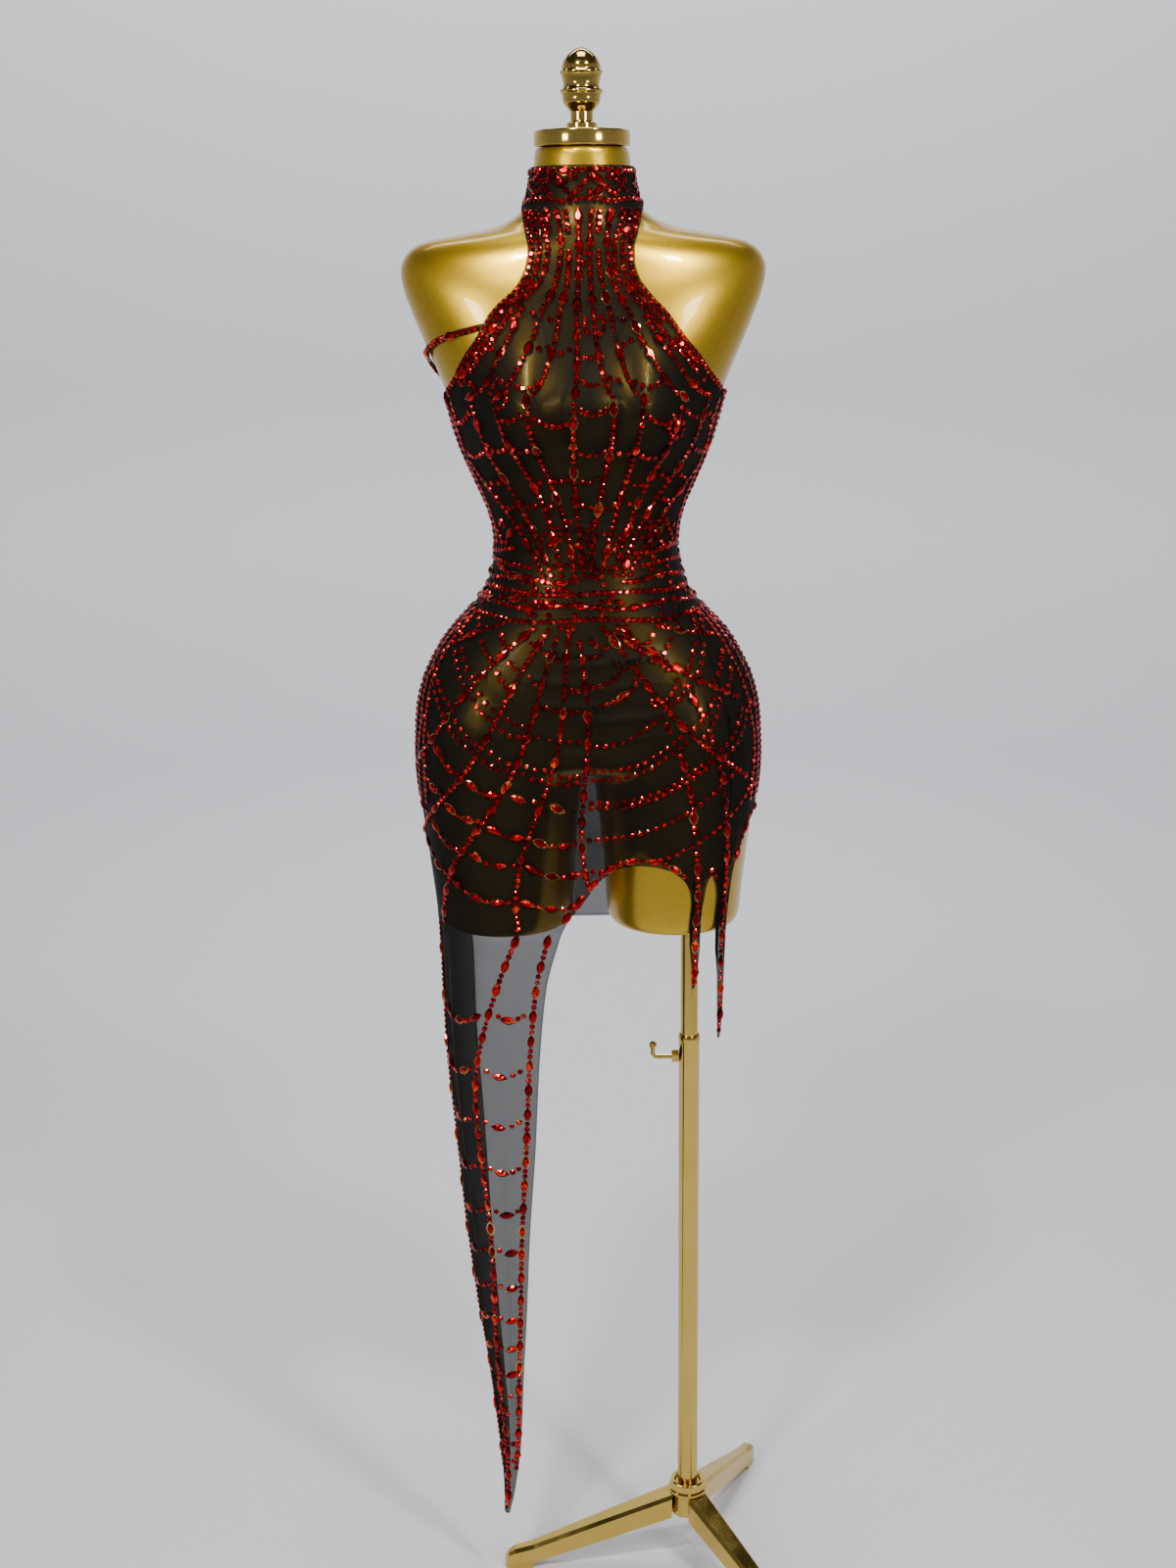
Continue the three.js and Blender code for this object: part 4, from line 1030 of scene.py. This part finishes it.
# %% Lines down the tail
def on_tail(share, z):
    """Points and normals on the tail's front layer, read between the panel's own grid points."""
    row = np.clip((TAIL_TOP - z) / (TAIL_TOP - TAIL_END), 0, 1) * TAIL_ROWS
    column = np.clip(share, 0, 1) * (front_tail[0].shape[1] - 1)
    points, normals = (read_grid(table, row, column) for table in front_tail)
    return points + normals * (CLOTH + GLUE), normals


def tail_line(pattern, share, z):
    """A line on the tail by share from the fold to the free edge, and height."""
    set_stones(*on_tail(share, z), pattern, trim=False)


def middle_share(z):
    """Share of the tail's width at which its middle line runs."""
    return 0.48 + 0.22 * np.exp(-(TAIL_TOP - z) / 120) + 0.05 * np.sin(z / 60)


LINE_END, MIDDLE_END = 165.0, 112.0
z = np.linspace(TAIL_TOP, LINE_END, 300)
down = (TAIL_TOP - z) / (TAIL_TOP - LINE_END)
tail_line("boats", 0.93 - 0.05 * down, z)
tail_line("mixed", 0.06 + 0.14 * down**2 + 0.09 * np.exp(-8 * down), z)
z = np.linspace(TAIL_TOP, MIDDLE_END, 300)
tail_line("boats", middle_share(z), z)

# %% Bars of the tail, and the strap
BARS, BARS_WITH_BOATS, FIRST_BAR = 16, 11, 846.0
bar_heights = FIRST_BAR - 1.3 * np.cumsum(np.linspace(56, 8, BARS))
for number, z in enumerate(bar_heights):
    middle = middle_share(z)
    for start, end in [(0.10, middle - 0.05), (middle + 0.05, 0.87)]:
        across = on_tail(np.array([start, end]), np.full(2, z))[0]
        sag = 0.2 * np.linalg.norm(across[1] - across[0])
        t = np.linspace(0, 1, 50)
        height = z - sag * np.sin(np.pi * t)
        tail_line("bars" if number < BARS_WITH_BOATS else "beads", start + (end - start) * t, height)
strap_line = np.linspace(0.01, 0.99, 200)
lay("mixed", *strap_course(strap_line, 0 * strap_line), trim=False, lift=STONE_LIFT + STRAP_CROWN)

# %% [markdown]
# ## Cutting the stones
# A round stone is a low dome with an eight-sided table, a boat has a pointed
# outline with the same slope. Only a few dozen flat facets each are needed:
# the sparkle comes from each facet facing its own way, and from a painted
# glint of its own, a random brightness in its colour that stands for the
# light thrown back from inside the glass.


# %% Shapes of the stones
def faceted(outline_xy, table_scale, girdle, height):
    """Points and faces of a stone of unit size: wall, sloping crown of triangles, flat table. The
    table's corners lie between the outline's."""
    n = len(outline_xy)
    turned_table = 0.5 * (outline_xy + np.roll(outline_xy, -1, axis=0)) * table_scale
    levels = [(outline_xy, 0.0), (outline_xy, girdle), (turned_table, height)]
    points = np.vstack([np.column_stack([xy, np.full(n, h)]) for xy, h in levels])
    i = np.arange(n)
    j = (i + 1) % n
    wall = np.stack([i, j, j + n, i, j + n, i + n], axis=-1).reshape(-1, 3)
    crown = np.vstack([
        np.stack([i + n, j + n, i + 2 * n], axis=-1), np.stack([j + n, j + 2 * n, i + 2 * n], axis=-1),
    ])
    fan = np.stack([np.full(n - 2, 2 * n), 2 * n + np.arange(1, n - 1), 2 * n + np.arange(2, n)], -1)
    return points, np.vstack([wall, crown, fan])


corner = np.linspace(0, 2 * np.pi, 9)[:-1]
round_shape = faceted(np.column_stack([np.cos(corner), np.sin(corner)]), 0.62, 0.25, 0.62)
step = np.array([-1, -0.55, 0, 0.55])
BOAT_WIDTH = 0.52
boat_half = np.column_stack([step, -BOAT_WIDTH * (1 - step**2)])
boat_outline = np.vstack([boat_half, -boat_half])
boat_shape = faceted(boat_outline, 0.58, 0.14, 0.36)
rim_shape = faceted(boat_outline * 1.015, 0.98, 0.03, 0.05)
print("triangles of a round and a boat stone:", len(round_shape[1]), len(boat_shape[1]))

# %% [markdown]
# ## Every stone in its place
# Where lines cross, two stones would lie on one spot, so the later one is left
# out, as a maker would leave it. The rest are copies of the three shapes in
# three meshes, one for the round stones, one for the boats and one for their
# settings. Each is tipped and scaled a little, because glue and glass are
# never quite even.


# %% Stones that have room
def flattened(vectors, normals):
    """Unit vectors at right angles to the normals: v - n (v . n), made as long as 1."""
    vectors = vectors - normals * (vectors * normals).sum(1, keepdims=True)
    return vectors / np.linalg.norm(vectors, axis=1, keepdims=True)


ROUND_RADIUS, BOAT_LENGTH = 3.2, 8.9
ROUND_ROOM, BOAT_ROOM, OVERLAP = 3.0, 5.2, 0.82
places, normals, alongs, kinds = (np.concatenate(values) for values in zip(*stones))
normals /= np.linalg.norm(normals, axis=1, keepdims=True)
alongs = flattened(alongs, normals)
room = np.where(kinds == BOAT, BOAT_ROOM, ROUND_ROOM)
squares = (places**2).sum(1)
apart = squares[:, None] + squares - 2 * places @ places.T
crowded = np.tril(apart < (OVERLAP * (room[:, None] + room)) ** 2, -1).any(axis=1)
places, normals, alongs, kinds = (values[~crowded] for values in (places, normals, alongs, kinds))
print("stones:", len(kinds), "of them boats:", int((kinds == BOAT).sum()))
print("left out where lines cross:", int(crowded.sum()))


# %% Copies of the stones
def scatter(name, shape, kind, size):
    """One mesh of many copies: place + size * (x * along + y * beside + z * normal) for each."""
    points, faces = shape
    chosen = kinds == kind
    count = int(chosen.sum())
    out = normals[chosen] + rng.normal(0, 0.05, (count, 3))
    out /= np.linalg.norm(out, axis=1, keepdims=True)
    first = flattened(alongs[chosen], out)
    axes = np.stack([first, np.cross(out, first), out], axis=1)
    each = size * (1 + rng.normal(0, 0.05, (count, 1, 1)))
    made = places[chosen][:, None, :] + each * (points @ axes)
    all_faces = (faces[None] + len(points) * np.arange(count)[:, None, None]).reshape(-1, 3)
    obj = make_piece(name, made.reshape(-1, 3), all_faces, smooth=False)
    # Painted glints: each facet gets a random brightness, part shared by its stone and part its own,
    # which the red stone finish paints as sparkle in place of light thrown back from inside the glass.
    painted_glint = obj.data.attributes.new("painted_glint", "FLOAT", "FACE")
    stone_glint = np.repeat(rng.random(count), len(faces))
    painted_glint.data.foreach_set("value", 0.45 * stone_glint + 0.55 * rng.random(len(all_faces)))
    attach(obj, "dressed_form")
    print(name, len(all_faces), "triangles")
    return obj


round_stones = scatter("round_stones", round_shape, ROUND, ROUND_RADIUS)
boat_stones = scatter("boat_stones", boat_shape, BOAT, BOAT_LENGTH)
boat_settings = scatter("boat_settings", rim_shape, BOAT, BOAT_LENGTH)

# %% [markdown]
# ## What the cloth was cut to
# Stretch mesh is cut smaller than the body and pulled on, so the flat pieces
# are narrower and a little shorter than they lie here. The flat size of every
# sheet is printed with its area, because none is a rectangle.

# %% Flat sizes of the cloth
CUT_ROUND, CUT_DOWN, STRAP_CUT, TAIL_SLANT = 0.90, 0.97, 0.010, 60.0
widest_front, widest_back = (2 * panel_side(b).max() / 1000 * CUT_ROUND for b in (False, True))
longest = (NECK_TOP - TAIL_END + TAIL_SLANT) / 1000 * CUT_DOWN
front_cut, back_cut = (area * CUT_ROUND * CUT_DOWN for area in (front_area, back_area))
strap_middle = strap_points[:, strap_points.shape[1] // 2]
strap_length = np.linalg.norm(np.diff(strap_middle, axis=0), axis=1).sum() / 1000 * CUT_DOWN
for name, *sizes in [
    ("front", widest_front, longest, front_cut), ("back", widest_back, longest, back_cut),
    ("strap", STRAP_CUT, strap_length),
]:
    print("flat cut of the", name, "in m, and its area:", [round(float(size), 3) for size in sizes])

# %% [markdown]
# ## Finishes
# Every finish is a few nodes on the object's own coordinates, so that it stays
# on its piece when the piece moves. A picture could be wrapped on instead, but
# it would have to be unwrapped for each shape and would blur from close by.


# %% Helpers for materials
def material(name, **constants):
    """A node material and its Principled shader, with constants on the shader's own sockets."""
    made = bpy.data.materials.new(name)
    made.use_nodes = True
    shader = made.node_tree.nodes["Principled BSDF"]
    for key, value in constants.items():
        shader.inputs[key.replace("_", " ")].default_value = value
    return made, made.node_tree.nodes, made.node_tree.links, shader


def node(nodes, kind, **values):
    """A node with its settings, and with the values of its inputs by name."""
    made = nodes.new(kind)
    for key, value in values.items():
        if key in made.inputs:
            made.inputs[key].default_value = value
        else:
            setattr(made, key, value)
    return made


def map_range(nodes, links, source, lowest, highest, to_low, to_high):
    """A value moved from one range to another."""
    limits = {"From Min": lowest, "From Max": highest, "To Min": to_low, "To Max": to_high}
    made = node(nodes, "ShaderNodeMapRange", **limits)
    links.new(source, made.inputs["Value"])
    return made.outputs["Result"]


def grain(nodes, links, scale, detail=2.0, distortion=0.0):
    """Noise on the object's own coordinates."""
    where = nodes.new("ShaderNodeTexCoord")
    noise = node(nodes, "ShaderNodeTexNoise", Scale=scale, Detail=detail, Distortion=distortion)
    links.new(where.outputs["Object"], noise.inputs["Vector"])
    return noise.outputs["Fac"]


def tint(nodes, links, source, shader, *stops):
    """The shader's base colour from a colour ramp with (position, colour) stops."""
    made = nodes.new("ShaderNodeValToRGB")
    while len(made.color_ramp.elements) < len(stops):
        made.color_ramp.elements.new(0.5)
    for element, (position, colour) in zip(made.color_ramp.elements, stops):
        element.position = position
        element.color = (*colour, 1.0)
    links.new(source, made.inputs["Fac"])
    links.new(made.outputs["Color"], shader.inputs["Base Color"])


def coat(material, *pieces):
    """The material on every piece given, in place of what it had."""
    for piece in pieces:
        piece.data.materials.clear()
        piece.data.materials.append(material)


# %% [markdown]
# ## Gold lacquer
# The form is sprayed with a metallic paint and then with clear varnish. A
# metal with a medium roughness gives the broad soft shine of the paint, a very
# fine pearl grain its flakes, and a coat the small sharp lights on top.

# %% Gold lacquer
lacquer, nodes, links, shader = material(
    "gold_lacquer", Metallic=0.95, Roughness=0.34, Coat_Weight=0.45, Coat_Roughness=0.05)
pearl = grain(nodes, links, 900.0, 3.0)
tint(nodes, links, pearl, shader, (0.3, (0.44, 0.265, 0.009)), (0.7, (0.58, 0.365, 0.018)))
coat(lacquer, form)

# %% [markdown]
# ## Polished brass
# The plate, the finial and the stand are brass, polished and then handled. The
# same cloud pattern changes the colour and the roughness a little, as finger
# marks do, and the metal mirrors the room everywhere else.

# %% Polished brass
brass, nodes, links, shader = material("polished_brass", Metallic=1.0)
cloud = grain(nodes, links, 22.0, 4.0, 0.3)
tint(nodes, links, cloud, shader, (0.3, (0.56, 0.385, 0.08)), (0.7, (0.62, 0.43, 0.11)))
links.new(map_range(nodes, links, cloud, 0.3, 0.7, 0.06, 0.13), shader.inputs["Roughness"])
plain_parts = [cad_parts[name] for name in ("clamp_nut", "clamp_screw", "leg_1", "leg_2", "leg_3")]
coat(brass, plate, finial, upper, lower, hub, boat_settings, *plain_parts)

# %% [markdown]
# ## Red stones
# Glass stones have foil behind them that throws the light back, which is
# why they sparkle. Real refraction in three thousand stones would be slow and
# noisy, so each facet is a small red mirror instead. A random number on each
# facet paints in its colour how much light comes back from inside, as a
# painted glint: most are deep red, and a few are bright.

# %% Red stones
ruby, nodes, links, shader = material(
    "red_stone", Metallic=1.0, Roughness=0.17, Coat_Weight=0.12, Coat_Roughness=0.02)
# Painted glints: the facet's random brightness picks the base colour, from deep red up to a painted
# bright orange highlight.
painted_glint = node(nodes, "ShaderNodeAttribute", attribute_name="painted_glint").outputs["Fac"]
tint(nodes, links, painted_glint, shader, (0.05, (0.035, 0.0003, 0.0012)), (0.5, (0.26, 0.0017, 0.0035)),
     (0.8, (0.68, 0.008, 0.006)), (1.0, (1.0, 0.16, 0.035)))
coat(ruby, round_stones, boat_stones)

# %% [markdown]
# ## Sheer mesh
# Stretch mesh is mostly holes, so light passes straight through it and the
# gold shows behind. Seen along its surface the threads close up and it turns
# black. Layer Weight tells how square the surface faces the eye, and sets how
# much the mesh covers. Fine ribs follow the cut through the UV map.

# %% Sheer mesh
sheer, nodes, links, shader = material("stretch_mesh", Roughness=0.6, Specular_IOR_Level=0.08)
where = nodes.new("ShaderNodeTexCoord")
rib = node(nodes, "ShaderNodeTexWave", Scale=160.0, Distortion=3.0, Detail=2.0, bands_direction="Y")
links.new(where.outputs["UV"], rib.inputs["Vector"])
ribs = rib.outputs["Fac"]
tint(nodes, links, ribs, shader, (0.0, (0.003, 0.0027, 0.002)), (1.0, (0.008, 0.007, 0.005)))
facing = node(nodes, "ShaderNodeLayerWeight", Blend=0.5).outputs["Facing"]
THINNEST, THICKEST = 0.53, 0.99  # how much of the light the mesh stops, seen square on and along it
links.new(map_range(nodes, links, facing, 0.0, 1.0, THINNEST, THICKEST), shader.inputs["Alpha"])
coat(sheer, front, back, strap)
print("finishes:", [finish.name for finish in (lacquer, brass, ruby, sheer)])

# %% [markdown]
# ## Floor
# The stand rests on a plain pale floor that curves up into a round wall, as
# paper does in a studio, so that every side has a plain ground behind it.

# %% Floor and round wall
WALL_RADIUS, WALL_BEND, WALL_TOP = 5600.0, 1200.0, 5200.0
bend = np.linspace(0, np.pi / 2, 20)
room_radius = np.concatenate([[200], WALL_RADIUS - WALL_BEND * (1 - np.sin(bend)), [WALL_RADIUS]])
room_height = np.concatenate([[0], WALL_BEND * (1 - np.cos(bend)), [WALL_TOP]])
room_points, room_faces = turn(np.column_stack([room_radius, room_height]), 0.0, 96)
floor = make_piece("floor", room_points, [face[::-1] for face in room_faces[:-1]])
paper, *_ = material("paper", Base_Color=(0.62, 0.62, 0.64, 1.0), Roughness=0.55)
coat(paper, floor)
print("floor:", len(room_faces) - 1, "faces")

# %% [markdown]
# ## Lights
# Two small lights above the front give the stones their sparkle, two at the
# sides draw the edges of the form, and one overhead lights the shoulders. The
# wall behind has a light of its own, and the wall in front a faint one, which
# leaves the room in front dim: lacquer and stones need dark surroundings to
# show deep colour.

# %% Lights
world = bpy.data.worlds.new("studio")
bpy.context.scene.world = world
world.use_nodes = True
world.node_tree.nodes["Background"].inputs["Color"].default_value = (0.80, 0.82, 0.86, 1.0)
world.node_tree.nodes["Background"].inputs["Strength"].default_value = 0.06


def placed(right, upright, backwards, place):
    """The matrix of a thing with these axes at a place in mm. Each row here is one of Blender's
    columns."""
    matrix = np.eye(4)
    matrix[0, :3], matrix[1, :3], matrix[2, :3] = right, upright, backwards
    matrix[3, :3] = (np.asarray(place) + SHIFT) / 1000
    return matrix.tolist()


def area_light(name, place, aim, size, power, colour=(1.0, 1.0, 1.0)):
    """A square soft light at a place, in mm, facing its aim."""
    light = bpy.data.lights.new(name, "AREA")
    light.size, light.energy, light.color = size, power, colour
    lamp = bpy.data.objects.new(name, light)
    bpy.context.scene.collection.objects.link(lamp)
    backwards = np.subtract(place, aim) / np.linalg.norm(np.subtract(place, aim))
    right = np.cross([0.0, 0.0, 1.0], backwards)
    right /= np.linalg.norm(right)
    lamp.matrix_world = placed(right, np.cross(backwards, right), backwards, place)


area_light("key", (-650, -1500, 3000), (0, 0, 1350), 0.22, 44, (1.0, 0.97, 0.92))
area_light("second", (900, -1300, 2900), (0, 0, 1300), 0.20, 33)
area_light("left", (-1500, -1800, 1800), (0, 0, 1100), 0.4, 19)
area_light("right", (1500, -1800, 1800), (0, 0, 1100), 0.4, 18)
area_light("wall", (0, 2300, 4700), (0, 5600, 1500), 3.2, 255, (0.94, 0.97, 1.0))
area_light("wall_in_front", (0, -3000, 4700), (0, -5600, 1500), 3.2, 12, (0.94, 0.97, 1.0))
area_light("top", (0, 100, 4300), (0, 99, 0), 1.2, 45)

# %% [markdown]
# ## Camera
# The camera stands where the photograph was taken. The neck plate shows there
# as a flat band, so the lens was near its height: 1.6 m up and 2.1 m away,
# looking down.

# %% Camera
camera = bpy.data.objects.new("camera", bpy.data.cameras.new("camera"))
bpy.context.scene.collection.objects.link(camera)
CAMERA_PLACE = np.array([-6.1, -2123.3, 1582.4])
CAMERA_DOWN, CAMERA_RIGHT, CAMERA_ROLL = np.radians([14.842, 0.146, -0.601])
camera.data.lens, camera.data.sensor_width, camera.data.clip_start = 44.1, 36.0, 0.05
ahead = np.array([math.sin(CAMERA_RIGHT), math.cos(CAMERA_RIGHT), 0.0])
forward = ahead * math.cos(CAMERA_DOWN) - np.array([0.0, 0.0, math.sin(CAMERA_DOWN)])
level = np.array([ahead[1], -ahead[0], 0.0])
above = np.cross(level, forward)
right = level * math.cos(CAMERA_ROLL) + above * math.sin(CAMERA_ROLL)
upright = -level * math.sin(CAMERA_ROLL) + above * math.cos(CAMERA_ROLL)
camera.matrix_world = placed(right, upright, -forward, CAMERA_PLACE)
bpy.context.scene.camera = camera
print("camera at", CAMERA_PLACE, "mm with a lens of", round(camera.data.lens, 1), "mm")
